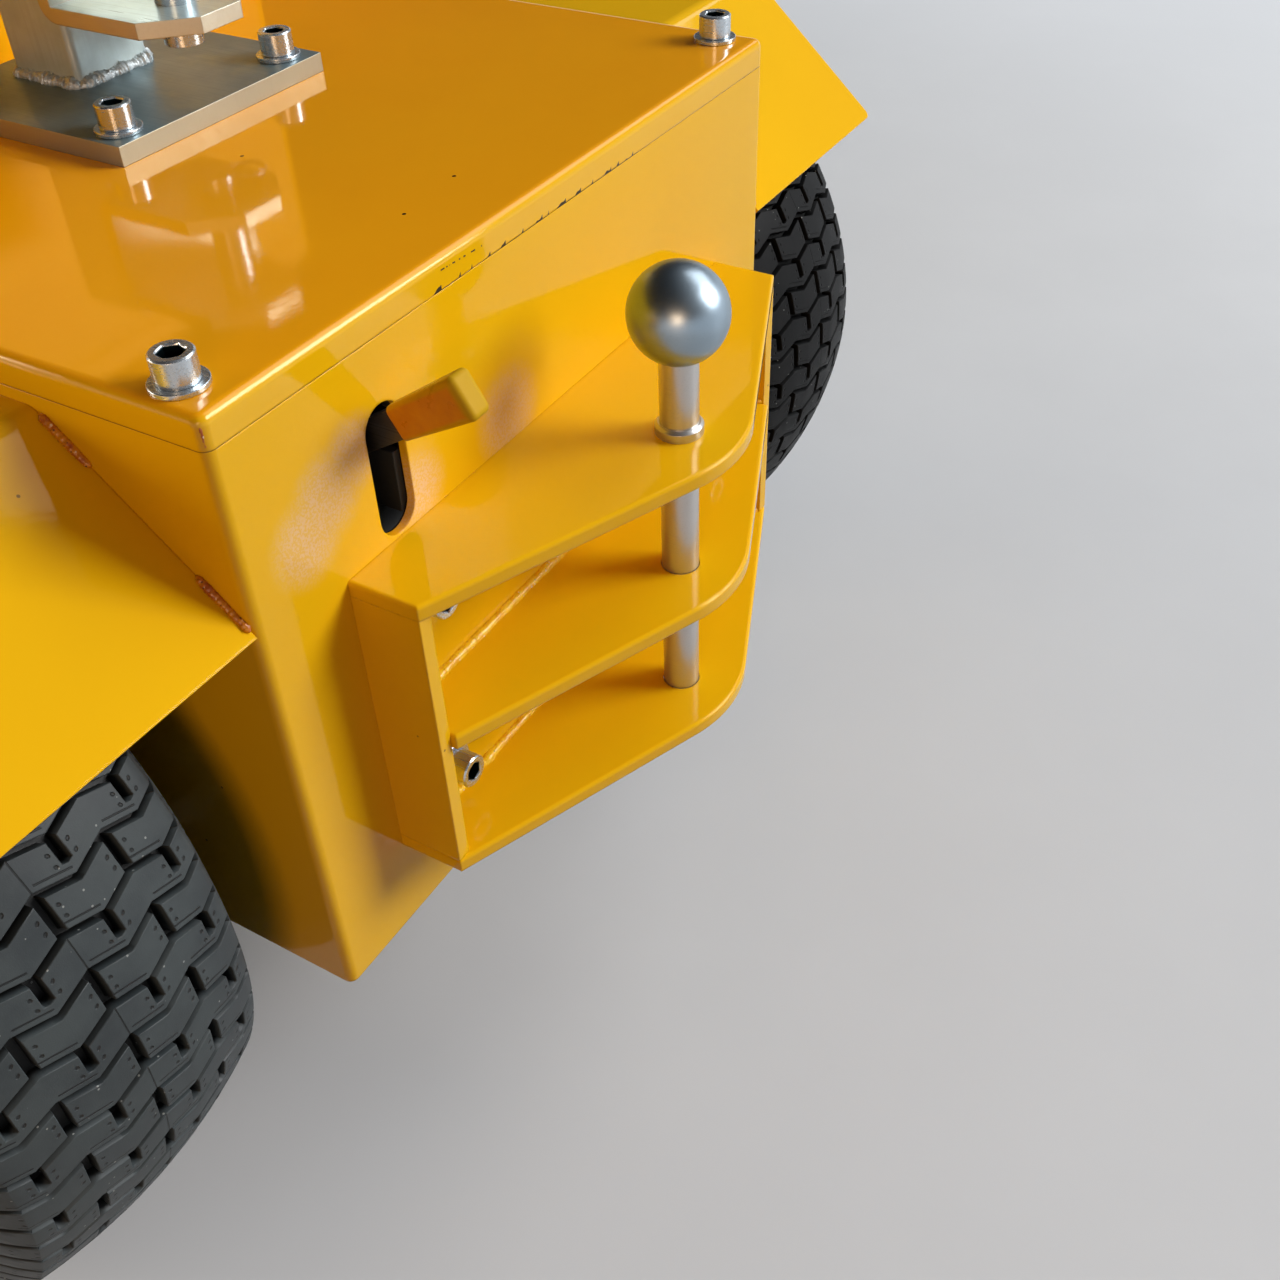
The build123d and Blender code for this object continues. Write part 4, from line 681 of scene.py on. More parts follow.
def paint(name, colour, shade, body=False, least=0.05, shine=0.25):
    """Glossy powder coat: fine orange peel, slow drift of colour, dust and faint wiping marks."""
    material, tree, shader = new_material(name)
    drift = use(tree, BLOTCHES, Scale=3.5, Low=0.3, High=0.72)["Mask"]
    base = blend_colour(tree, calc(tree, "MULTIPLY", drift, 0.55), colour, shade)
    flecks = use(tree, SPECKS, Scale=150.0, Size=0.11, Amount=0.988)["Mask"]
    base = blend_colour(tree, calc(tree, "MULTIPLY", flecks, 0.75), base, srgb(70, 46, 14))
    marks = use(tree, SCRATCHES, Turn=0.5, Along=7.0, Across=700.0, Amount=0.66)["Mask"]
    rough = calc(tree, "ADD", calc(tree, "MULTIPLY", marks, 0.07), least)
    height = PEEL
    if body:
        base, rough, height = body_coat(tree, base, rough, drift)
    skin = use(tree, GRAIN, Scale=420.0, Height=height, Edge=0.0016)["Normal"]
    tree.links.new(base, shader["Base Color"])
    tree.links.new(rough, shader["Roughness"])
    tree.links.new(skin, shader["Normal"])
    shader["Specular Tint"].default_value = (1.0, 0.86, 0.6, 1.0)
    shader["Specular IOR Level"].default_value = shine
    return material


def coated_weld(name, full, thin, soot_amount, painted_glint_amount, least):
    """Coated weld: another colour where the coat is thin, with soot specks, pale specks as painted glints
    and a rough skin. The least roughness is given."""
    material, tree, shader = new_material(name)
    worn = use(tree, BLOTCHES, Scale=160.0, Low=0.42, High=0.62)["Mask"]
    base = blend_colour(tree, worn, full, thin)
    soot = use(tree, SPECKS, Scale=700.0, Size=0.3, Amount=soot_amount)["Mask"]
    base = blend_colour(tree, calc(tree, "MULTIPLY", soot, 0.85), base, srgb(60, 44, 30))
    # painted highlight: pale specks in the colour stand in for glints on the bead
    painted_glint = use(tree, SPECKS, Scale=560.0, Size=0.3, Amount=painted_glint_amount)["Mask"]
    base = blend_colour(tree, calc(tree, "MULTIPLY", painted_glint, 0.8), base, srgb(250, 236, 206))
    tree.links.new(base, shader["Base Color"])
    tree.links.new(calc(tree, "ADD", least, calc(tree, "MULTIPLY", soot, 0.4)), shader["Roughness"])
    tree.links.new(use(tree, GRAIN, Scale=700.0, Height=0.25, Edge=0.0004)["Normal"], shader["Normal"])
    return material


def bright_steel(name, colour, roughness, drift=0.08, mark=0.12, grain=0.002, scale=900.0, metal=1.0):
    """Machined or plated metal: fine drift in the polish, a barely uneven skin, and hairline marks, which
    are the darker the rougher they are."""
    material, tree, shader = new_material(name)
    cloud = use(tree, BLOTCHES, Scale=28.0, Low=0.3, High=0.7)["Mask"]
    marks = use(tree, SCRATCHES, Turn=0.9, Along=16.0, Across=1500.0, Amount=0.6)["Mask"]
    rough = calc(tree, "ADD", roughness, calc(tree, "MULTIPLY", cloud, drift))
    rough = calc(tree, "ADD", rough, calc(tree, "MULTIPLY", marks, mark))
    dull = tuple(c * 0.72 for c in colour[:3]) + (1.0,)
    base = blend_colour(tree, calc(tree, "MULTIPLY", marks, 4 * mark), colour, dull)
    tree.links.new(base, shader["Base Color"])
    tree.links.new(rough, shader["Roughness"])
    tree.links.new(use(tree, GRAIN, Scale=scale, Height=grain, Edge=0.0004)["Normal"], shader["Normal"])
    shader["Metallic"].default_value = metal
    return material


def zinc(name, first, second, lines, clouds=22.0, rough=0.26, metal=0.6, edge=((190, 186, 160), 0.3, 0.7)):
    """Zinc plate: two greys in clouds, brushed by lines stretched per axis, a faint yellow-green film, and
    upright faces of another tint. The edge is that tint's colour, its share and how metallic they are."""
    material, tree, shader = new_material(name)
    cloud = use(tree, BLOTCHES, Scale=clouds, Low=0.32, High=0.68)["Mask"]
    brushed = use(tree, BRUSHING, Along_X=lines[0], Along_Y=lines[1], Along_Z=lines[2])["Value"]
    base = blend_colour(tree, cloud, first, second)
    base = blend_colour(tree, calc(tree, "MULTIPLY", ramp(tree, brushed, 0.45, 0.7), 0.5), base,
                        tuple(c * 0.7 for c in first[:3]) + (1.0,))
    film = use(tree, BLOTCHES, Scale=38.0, Low=0.5, High=0.72)["Mask"]
    base = blend_colour(tree, calc(tree, "MULTIPLY", film, 0.12), base, srgb(176, 172, 96))
    side = calc(tree, "LESS_THAN", calc(tree, "ABSOLUTE", facing_up(tree)), 0.5)
    tint, share, metallic = edge
    sawn = calc(tree, "MULTIPLY", side, share)
    base = blend_colour(tree, sawn, base, srgb(*tint))
    gloss = calc(tree, "ADD", calc(tree, "MULTIPLY", cloud, 0.1), calc(tree, "MULTIPLY", brushed, 0.14))
    gloss = calc(tree, "ADD", calc(tree, "ADD", gloss, rough), calc(tree, "MULTIPLY", sawn, 0.06))
    skin = use(tree, GRAIN, Scale=420.0, Height=0.006, Edge=0.0007)["Normal"]
    tree.links.new(base, shader["Base Color"])
    tree.links.new(gloss, shader["Roughness"])
    tree.links.new(bump(tree, skin, brushed, 0.02 * MM), shader["Normal"])
    if metallic == metal:
        shader["Metallic"].default_value = metal
    else:
        more = calc(tree, "MULTIPLY", side, metallic - metal)
        tree.links.new(calc(tree, "ADD", metal, more), shader["Metallic"])
    return material


def moulded(name, colour, roughness=0.45, grain=0.05, scale=900.0, edge=0.0008, lighter=0.35):
    """Moulded rubber or plastic, or enamel: fine grain, slow drift of shade and paler rubbed edges."""
    material, tree, shader = new_material(name)
    base, rough = moulded_look(tree, colour, roughness, lighter)
    tree.links.new(base, shader["Base Color"])
    tree.links.new(rough, shader["Roughness"])
    tree.links.new(use(tree, GRAIN, Scale=scale, Height=grain, Edge=edge)["Normal"], shader["Normal"])
    return material


def moulded_look(tree, colour, roughness, lighter):
    """Colour and roughness of a moulded surface."""
    drift = use(tree, BLOTCHES, Scale=14.0, Low=0.3, High=0.7)["Mask"]
    edge_mask = use(tree, EDGES, Radius=0.0022, Sharpness=0.35)["Mask"]
    pale = tuple(min(1.0, c * 1.9 + 0.012) for c in colour[:3]) + (1.0,)
    dark = tuple(c * 0.78 for c in colour[:3]) + (1.0,)
    base = blend_colour(tree, calc(tree, "MULTIPLY", drift, 0.7), colour, dark)
    base = blend_colour(tree, calc(tree, "MULTIPLY", edge_mask, lighter), base, pale)
    flecks = use(tree, SPECKS, Scale=240.0, Size=0.12, Amount=0.97)["Mask"]
    base = blend_colour(tree, calc(tree, "MULTIPLY", flecks, 0.35), base, srgb(170, 170, 165))
    return base, calc(tree, "ADD", roughness, calc(tree, "MULTIPLY", drift, 0.12))


def stop_button(name):
    """Red moulded button on a yellow collar, told apart by the height above the hood's slope."""
    material, tree, shader = new_material(name)
    red, rough = moulded_look(tree, srgb(190, 20, 16), 0.26, 0.1)
    above = calc(tree, "GREATER_THAN", reach(tree, SLOPE_PLACE, SLOPE_TURN[2]), STOP_COLLAR)
    tree.links.new(blend_colour(tree, above, srgb(232, 178, 14), red), shader["Base Color"])
    tree.links.new(rough, shader["Roughness"])
    tree.links.new(use(tree, GRAIN, Scale=900.0, Height=0.02, Edge=0.0008)["Normal"], shader["Normal"])
    return material


def dial_face(name):
    """Dial of the charge meter: a pale plate with a ring of plain marks, an arc that goes from red over
    yellow to green, and a dark pointer. Angles are counted from the slope's upper side."""
    material, tree, shader = new_material(name)
    up = calc(tree, "MULTIPLY", reach(tree, METER_PLACE, SLOPE_TURN[0]), -1.0)
    aside = reach(tree, METER_PLACE, SLOPE_TURN[1])
    radius = distance(tree, METER_PLACE)
    angle = calc(tree, "ARCTAN2", aside, up)
    spread = calc(tree, "LESS_THAN", calc(tree, "ABSOLUTE", angle), DIAL_SPREAD + 0.05)
    turn = calc(tree, "FRACT", calc(tree, "ADD", calc(tree, "DIVIDE", angle, DIAL_SPREAD / 3), 10.5))
    tick = calc(tree, "COMPARE", turn, 0.5, 0.06)
    ring = calc(tree, "COMPARE", radius, *DIAL_TICKS)
    marks = calc(tree, "MULTIPLY", calc(tree, "MULTIPLY", tick, ring), spread)
    band = calc(tree, "MULTIPLY", calc(tree, "COMPARE", radius, *DIAL_BAND), spread)
    pointer = calc(tree, "COMPARE", angle, DIAL_READING, 0.045)
    pointer = calc(tree, "MULTIPLY", pointer, calc(tree, "LESS_THAN", radius, DIAL_POINTER))
    pointer = calc(tree, "MAXIMUM", pointer, calc(tree, "LESS_THAN", radius, DIAL_HUB))
    hue = blend_colour(tree, ramp(tree, angle, -0.8, -0.2), srgb(60, 140, 60), srgb(226, 190, 30))
    hue = blend_colour(tree, ramp(tree, angle, 0.3, 0.7), hue, srgb(190, 34, 24))
    base = blend_colour(tree, band, srgb(226, 226, 220), hue)
    base = blend_colour(tree, calc(tree, "MAXIMUM", marks, pointer), base, srgb(24, 24, 24))
    tree.links.new(base, shader["Base Color"])
    tree.links.new(use(tree, GRAIN, Scale=900.0, Height=0.004, Edge=0.0002)["Normal"], shader["Normal"])
    shader["Roughness"].default_value = 0.5
    return material


def clear_cover(name):
    """Clear plastic of the meter's cover, with faint wiping marks."""
    material, tree, shader = new_material(name)
    marks = use(tree, SCRATCHES, Turn=0.4, Along=30.0, Across=1200.0, Amount=0.66)["Mask"]
    tree.links.new(calc(tree, "ADD", 0.03, calc(tree, "MULTIPLY", marks, 0.1)), shader["Roughness"])
    shader["Base Color"].default_value = (0.96, 0.97, 0.97, 1)
    shader["Transmission Weight"].default_value = 1.0
    shader["IOR"].default_value = 1.45
    return material


def attribute(tree, name):
    """Value of a point attribute of the piece."""
    return node(tree, "ShaderNodeAttribute", attribute_name=name, attribute_type="GEOMETRY").outputs["Fac"]


def tread_marks(tree):
    """Mask of the marks on the lugs: two small pits on each side of a slot, a thin cut along each rising
    edge, and the mould's parting line in every other row."""
    across = attribute(tree, "across")
    along = attribute(tree, "along")
    odd = attribute(tree, "odd")
    period = 2 * ZIG_PITCH
    shift = calc(tree, "MULTIPLY", calc(tree, "SUBTRACT", 1.0, odd), ZIG_PITCH)
    turn = calc(tree, "DIVIDE", calc(tree, "ADD", across, shift), period)
    wrapped = calc(tree, "SUBTRACT", calc(tree, "FRACT", calc(tree, "ADD", turn, 10.5)), 0.5)
    from_slot = calc(tree, "ABSOLUTE", calc(tree, "MULTIPLY", wrapped, period))
    aside = calc(tree, "SUBTRACT", from_slot, PIT_ASIDE)
    first, second = (calc(tree, "ABSOLUTE", calc(tree, "SUBTRACT", along, place)) for place in PIT_ALONG)
    ahead = calc(tree, "MINIMUM", first, second)
    square = calc(tree, "ADD", calc(tree, "POWER", aside, 2.0), calc(tree, "POWER", ahead, 2.0))
    pit = ramp(tree, calc(tree, "SQRT", square), 1.25 * MM, 0.5 * MM)
    rising = calc(tree, "FRACT", calc(tree, "ADD", calc(tree, "DIVIDE", across, period), 10.5))
    rising = calc(tree, "LESS_THAN", rising, 0.44)
    cut = ramp(tree, calc(tree, "ABSOLUTE", calc(tree, "SUBTRACT", along, CUT_ALONG)), 0.55 * MM, 0.25 * MM)
    cut = calc(tree, "MULTIPLY", cut, rising)
    seam = ramp(tree, calc(tree, "ABSOLUTE", across), 0.45 * MM, 0.2 * MM)
    seam = calc(tree, "MULTIPLY", seam, calc(tree, "SUBTRACT", 1.0, odd))
    return calc(tree, "MAXIMUM", calc(tree, "MAXIMUM", pit, cut), seam)


def tread_rubber(name, low, high, shine):
    """Tread rubber: grooves coloured near black as painted shade, greyer lugs with the marks of the mould,
    dented and coloured black as painted shade, and flecks of dust.
    """
    material, tree, shader = new_material(name)
    top = attribute(tree, "top")
    dented_and_shaded = calc(tree, "MULTIPLY", tread_marks(tree), ramp(tree, top, 0.9, 0.99))
    drift = use(tree, BLOTCHES, Scale=30.0, Low=0.3, High=0.7)["Mask"]
    tops = blend_colour(tree, drift, low, high)
    # painted shade: the colour falls to near black down in the grooves and slots
    base = blend_colour(tree, ramp(tree, top, 0.1, 0.95), srgb(14, 15, 15), tops)
    # painted shade: the dented marks are coloured black
    base = blend_colour(tree, calc(tree, "MULTIPLY", dented_and_shaded, 0.8), base, srgb(12, 12, 12))
    flecks = use(tree, SPECKS, Scale=330.0, Size=0.17, Amount=0.93)["Mask"]
    base = blend_colour(tree, calc(tree, "MULTIPLY", flecks, 0.5), base, srgb(176, 180, 176))
    skin = use(tree, GRAIN, Scale=1500.0, Height=0.05, Edge=0.0004)["Normal"]
    level = calc(tree, "SUBTRACT", 1.0, dented_and_shaded)
    tree.links.new(base, shader["Base Color"])
    tree.links.new(calc(tree, "ADD", 0.42, calc(tree, "MULTIPLY", drift, 0.14)), shader["Roughness"])
    tree.links.new(bump(tree, skin, level, 0.6 * MM), shader["Normal"])
    shader["Specular IOR Level"].default_value = shine
    return material


def vinyl(name):
    """Dipped vinyl sleeve: cloudy amber where the bar shows through it, yellow green beyond the bar's end
    and on the thin edges, with light passing through."""
    material, tree, shader = new_material(name)
    drift = use(tree, BLOTCHES, Scale=60.0, Low=0.3, High=0.7)["Mask"]
    amber = blend_colour(tree, drift, srgb(220, 136, 10), srgb(234, 156, 16))
    along = reach(tree, LEVER_MOUTH, LEVER_AXIS)
    beyond = ramp(tree, along, LEVER_OUT - 2.5 * MM, LEVER_OUT + 1.5 * MM)
    across = calc(tree, "ABSOLUTE", reach(tree, LEVER_MOUTH, (-LEVER_AXIS[2], 0, LEVER_AXIS[0])))
    thin = ramp(tree, across, LEVER_HALF_TALL - 1 * MM, LEVER_HALF_TALL + 1 * MM)
    pale = calc(tree, "MAXIMUM", beyond, calc(tree, "MULTIPLY", thin, 0.75))
    tree.links.new(blend_colour(tree, pale, amber, srgb(208, 164, 12)), shader["Base Color"])
    gloss = calc(tree, "ADD", calc(tree, "MULTIPLY", drift, 0.1), calc(tree, "MULTIPLY", beyond, 0.3))
    tree.links.new(calc(tree, "ADD", 0.26, gloss), shader["Roughness"])
    shader["Specular IOR Level"].default_value = 0.25
    tree.links.new(use(tree, GRAIN, Scale=240.0, Height=0.05, Edge=0.0012)["Normal"], shader["Normal"])
    shader["Transmission Weight"].default_value = 0.12
    shader["IOR"].default_value = 1.4
    return material


COAT = srgb(233, 181, 13)
COAT_SHADE = srgb(228, 172, 10)
# Painted light: warmer tint for the body's level tops, as if lit warmly from above, and its drift partner
PAINTED_WARM_TOP = srgb(239, 164, 11)
PAINTED_WARM_TOP_DRIFT = srgb(234, 156, 9)
YELLOW = paint("yellow_powder_coat", COAT, COAT_SHADE)
YELLOW_BODY = paint("yellow_body_coat", COAT, COAT_SHADE, body=True)
YELLOW_LID = paint("yellow_lid_coat", COAT, COAT_SHADE, body=True, shine=0.5)
YELLOW_HOOD = paint("yellow_hood_coat", srgb(236, 172, 12), srgb(230, 163, 9), least=0.3, shine=0.14)
YELLOW_WELD = coated_weld("coated_weld", srgb(214, 140, 14), srgb(176, 92, 26), 0.86, 0.93, 0.28)
# Painted light: the hitch's welds are a paler, brighter yellow than the coat, standing in for the light they
# catch in their shaded corners
HITCH_WELD_PAINTED_LIGHT = coated_weld("hitch_weld", srgb(250, 204, 36), srgb(238, 178, 20), 0.985, 0.93, 0.12)
BLACK = moulded("black_enamel", srgb(34, 35, 36), 0.32, 0.06, 500.0)
SATIN = bright_steel("satin_pin_steel", srgb(196, 194, 192), 0.3, 0.05, 0.05, 0.0006, metal=0.85)
BALL = bright_steel("satin_ball_steel", srgb(154, 170, 182), 0.32, 0.04, 0.03, 0.0006)
PLATED = bright_steel("bright_zinc", srgb(198, 206, 212), 0.2, 0.08, 0.12, metal=0.88)
# Painted shade: dark teal for the cups that fill the screws' sockets
SOCKET_SHADE = bright_steel("socket_painted_shade", srgb(34, 54, 58), 0.3)
# Painted shade: the lever's bracket, seen only through the slot, is near black with no paler edges, standing
# in for the shade inside the housing
SHADE_BLACK = moulded("bracket_shade_black", srgb(12, 12, 12), 0.7, 0.06, 500.0, lighter=0.0)
DARK_STEEL = bright_steel("dark_bar_steel", srgb(96, 92, 88), 0.38, 0.12, 0.2)
ZINC = zinc("zinc_plated_sheet", srgb(178, 184, 182), srgb(154, 160, 156), (300, 300, 300))
ZINC_BASE = zinc("zinc_base_plate", srgb(112, 134, 142), srgb(92, 110, 116), (14, 900, 14), 12.0, 0.3, 0.5,
                 ((172, 166, 146), 1.0, 0.9))
ZINC_POST = zinc("zinc_post_tube", srgb(204, 218, 220), srgb(168, 182, 182), (420, 420, 16), 34.0, 0.24, 0.3,
                 ((200, 214, 216), 0.4, 0.3))
ZINC_CLEVIS = zinc("zinc_clevis_plate", srgb(186, 208, 212), srgb(160, 182, 182), (30, 700, 500), 18.0,
                   0.22, 0.45, ((190, 180, 158), 0.8, 0.9))
ZINC_WELD = bright_steel("zinc_weld", srgb(196, 204, 206), 0.4, 0.16, 0.05, 0.5, 620.0, metal=0.6)
RUBBER = moulded("black_rubber", srgb(38, 38, 39), 0.6, 0.05, 1200.0)
# Lit and shaded copies of one rubber: the right tyre's is far darker and duller as painted shade, the left's
# paler as painted light
LIT_AND_SHADED_TREADS = {"left": tread_rubber("left_tread_rubber_lit", srgb(49, 55, 58), srgb(63, 70, 72), 0.3),
          "right": tread_rubber("right_tread_rubber_shaded", srgb(18, 19, 20), srgb(26, 27, 28), 0.08)}
GREY_RUBBER = moulded("grey_wheel_rubber", srgb(88, 90, 92), 0.6, 0.05, 1100.0)
PLASTIC = moulded("black_plastic", srgb(30, 31, 33), 0.42, 0.12, 1300.0)
CORE = moulded("core_plastic", srgb(58, 60, 62), 0.45, 0.08, 900.0)
RED = moulded("red_plastic", srgb(190, 20, 16), 0.3, 0.03, 900.0, lighter=0.1)
STOP_RED = stop_button("stop_button_plastic")
CASE = moulded("battery_case", srgb(44, 46, 50), 0.5, 0.1, 700.0)
RIM = moulded("rim_enamel", srgb(188, 190, 190), 0.34, 0.06, 500.0, lighter=0.2)
VINYL = vinyl("amber_vinyl")
DIAL = dial_face("meter_dial")
COVER = clear_cover("meter_cover")

# Finish of each carried node, by its name, or by the first part of its name for those on each side
FINISHES = {
    "deck_lid": YELLOW_LID, "hood_floor": YELLOW_BODY, "chassis_housing": YELLOW_BODY, "tow_pin": SATIN,
    "tow_pin_ball": BALL, "release_lever": DARK_STEEL, "lever_bracket": SHADE_BLACK, "lever_grip": VINYL,
    "axle_housing": BLACK, "drive_motor": BLACK, "battery_tray": BLACK, "battery_pack": CASE,
    "deck_base_plate": ZINC_BASE, "deck_post": ZINC_POST, "deck_clevis": ZINC_CLEVIS, "clevis_pin": PLATED,
    "clevis_ring": PLATED, "hood_hinges": ZINC, "lid_pull": PLASTIC, "tiller_buffer": RUBBER,
    "tiller_head": PLASTIC, "tiller_bar": BLACK, "hand_grips": RUBBER, "emergency_stop": STOP_RED,
    "control_panel": PLASTIC, "hood_case": YELLOW_HOOD, "hood_lid": YELLOW_HOOD,
}
SIDED_FINISHES = {
    "drive_rim": RIM, "drive_hub": BLACK, "drive_tyre": RUBBER, "caster_plate": ZINC, "caster_fork": ZINC,
    "caster_tread": GREY_RUBBER, "caster_core": CORE,
}


def finish_nodes():
    """Gives every carried node its finish. What the tables don't name is yellow coat."""
    for name, piece in NODES.items():
        finish = FINISHES.get(name) or SIDED_FINISHES.get(name.rsplit("_", 1)[0], YELLOW)
        piece.data.materials.clear()
        piece.data.materials.append(finish)


finish_nodes()


# Drive tyres

def arc(start, middle, end, count):
    """Points on the circle through three points, in equal steps of angle past the middle one."""
    a, b, c = (complex(*p) for p in (start, middle, end))
    w = (c - a) / (b - a)
    centre = a + (b - a) * (w - abs(w) ** 2) / (2j * w.imag)
    sweep = np.angle((b - centre) / (a - centre)) + np.angle((c - centre) / (b - centre))
    z = centre + (a - centre) * np.exp(1j * sweep * np.linspace(0, 1, count))
    return np.stack([z.real, z.imag], axis=1)


def half_section():
    """Outer outline of half a tyre from the middle of the tread to the bead's lip, its arc length, and
    the length at the shoulder."""
    shoulder = TYRE_RADIUS - SHOULDER_DROP
    tread = arc((-TREAD_HALF, shoulder), (0, TYRE_RADIUS), (TREAD_HALF, shoulder), 121)[60:]
    flank = arc((TREAD_HALF, shoulder), (TYRE_HALF, BULGE_RADIUS), (LIP_HALF, LIP_RADIUS), 90)[1:]
    outline = np.concatenate([tread, flank])
    run = np.concatenate([[0], np.cumsum(np.linalg.norm(np.diff(outline, axis=0), axis=1))])
    return outline, run, run[len(tread) - 1]


def tread_columns(total, shoulder):
    """Stations across the tyre, as (distance from the middle, slot depth in odd rows, slot depth in even
    rows, rib height)."""
    half = []
    for k in range(SLOTS):
        for offset, depth in SLOT_EDGE:
            place = k * ZIG_PITCH + offset * MM
            if place >= 0:
                half.append((place, depth if k % 2 == 0 else 0.0, depth if k % 2 else 0.0, 0.0))
    half += [(shoulder + step * MM, 0.0, 0.0, 0.0) for step in (-4.5, -0.3, 0.3)]
    half += [(place * MM, 0.0, 0.0, rib * MM) for place, rib in FLANK]
    half.append((total, 0.0, 0.0, 0.0))
    columns = sorted(set(half))
    return np.array([(-c[0],) + c[1:] for c in columns[:0:-1]] + columns)


def tread_lines(pitch):
    """Stations along one row of lugs, as (distance, groove depth, depth a slot reaches in an even row)."""
    return np.array(((1.2 * MM, TREAD_DEPTH, 0), (1.9 * MM, TREAD_EDGE, 0), (2.25 * MM, 0, 0),
                     (7.15 * MM, 0, 0), (7.5 * MM, 0, TREAD_EDGE), (8.2 * MM, 0, TREAD_DEPTH),
                     (13.5 * MM, 0, TREAD_DEPTH), (pitch - 2.25 * MM, 0, TREAD_DEPTH),
                     (pitch - 1.9 * MM, TREAD_EDGE, TREAD_DEPTH),
                     (pitch - 1.2 * MM, TREAD_DEPTH, TREAD_DEPTH)))


def carving(columns, lines, odd):
    """Depth of the tyre's surface below its outline, at each line round it and each column across it:
    the deeper of the groove, which fades out on the flank, and the slot, less the rib."""
    fade = 1 - np.clip((np.abs(columns[:, 0]) - LUG_FADE[0]) / (LUG_FADE[1] - LUG_FADE[0]), 0, 1)
    groove = np.tile(lines[:, 1], TREAD_ROWS)[:, None] * fade[None]
    blind = np.tile(lines[:, 2], TREAD_ROWS)[:, None]
    slot = odd[:, None] * columns[None, :, 1] + (1 - odd[:, None]) * np.minimum(blind, columns[None, :, 2])
    return np.maximum(groove, slot) - columns[None, :, 3]


def inner_wall():
    """Section of the tyre's inside from lip to lip, as (across, radius): an arc from bead to bead."""
    cavity = arc((BEAD_HALF, BEAD_RADIUS), (0, TYRE_RADIUS - CARCASS), (-BEAD_HALF, BEAD_RADIUS), 9)
    return np.array([(LIP_HALF, BEAD_RADIUS)] + cavity.tolist() + [(-LIP_HALF, BEAD_RADIUS)])


def store(piece, fields):
    """Keeps arrays as point attributes of the piece, for its material."""
    for label, values in fields.items():
        stored = piece.data.attributes.new(label, "FLOAT", "POINT")
        stored.data.foreach_set("value", np.asarray(values, np.float32).ravel())


def drive_tread(word, side):
    """Turf tyre over a warped grid. s runs round the tyre and w across it: a point lies on the outline at
    w, lowered along the outline's normal by the depth of grooves (fixed s) and slots (fixed w), and
    turned by (s + zigzag(w)) / radius, so that straight grid lines become the zigzag grooves. The inner
    wall closes each ring."""
    outline, run, shoulder = half_section()
    columns = tread_columns(run[-1], shoulder)
    w = columns[:, 0]
    across = np.sign(w) * np.interp(np.abs(w), run, outline[:, 0])
    radius = np.interp(np.abs(w), run, outline[:, 1])
    slope = np.gradient(outline, run, axis=0)
    normal_y = np.sign(w) * np.interp(np.abs(w), run, -slope[:, 1])
    normal_r = np.interp(np.abs(w), run, slope[:, 0])
    pitch = 2 * math.pi * TYRE_RADIUS / TREAD_ROWS
    lines = tread_lines(pitch)
    row = np.repeat(np.arange(TREAD_ROWS), len(lines))
    along = np.tile(lines[:, 0], TREAD_ROWS)
    odd = (row % 2 == 0).astype(float)
    lower = carving(columns, lines, odd)
    folded = np.minimum(np.abs(w), shoulder) / (2 * ZIG_PITCH)
    zigzag = ZIG_RISE * (np.abs(folded % 1.0 - 0.5) * 4 - 1)
    s = ROW_PHASE + row[:, None] * pitch + along[:, None] + zigzag[None]
    y = across[None] - lower * normal_y[None]
    r = radius[None] - lower * normal_r[None]
    inner = inner_wall()
    within = (len(along), len(inner))
    y = np.concatenate([y, np.broadcast_to(inner[:, 0], within)], axis=1)
    r = np.concatenate([r, np.broadcast_to(inner[:, 1], within)], axis=1)
    s = np.concatenate([s, np.broadcast_to(s[:, -1:], within)], axis=1)
    angle = s / TYRE_RADIUS
    x = WHEEL_X - r * np.cos(angle)
    z = TYRE_RADIUS + r * np.sin(angle)
    points = np.stack([x, side * WHEEL_Y + y, z], axis=-1)
    shells = [surface(points, ring=True)]
    piece = add_piece("drive_tread_" + word, shells, "drive_wheel_" + word, LIT_AND_SHADED_TREADS[word])
    top = np.concatenate([1 - np.clip(lower, 0, None) / TREAD_DEPTH, np.ones(within)], axis=1)
    spread = np.concatenate([np.broadcast_to(w, lower.shape), np.full(within, 1.0)], axis=1)
    along, odd = (np.repeat(values, points.shape[1]) for values in (along, odd))
    store(piece, {"top": top, "across": spread, "along": along, "odd": odd})
    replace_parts(piece, "drive_tyre_" + word)


for word, side in SIDES:
    drive_tread(word, side)


# Screws, nuts and bolts

def corners(x0, x1, y0, y1):
    """The four corners of a rectangle."""
    return [(x, y) for x in (x0, x1) for y in (y0, y1)]


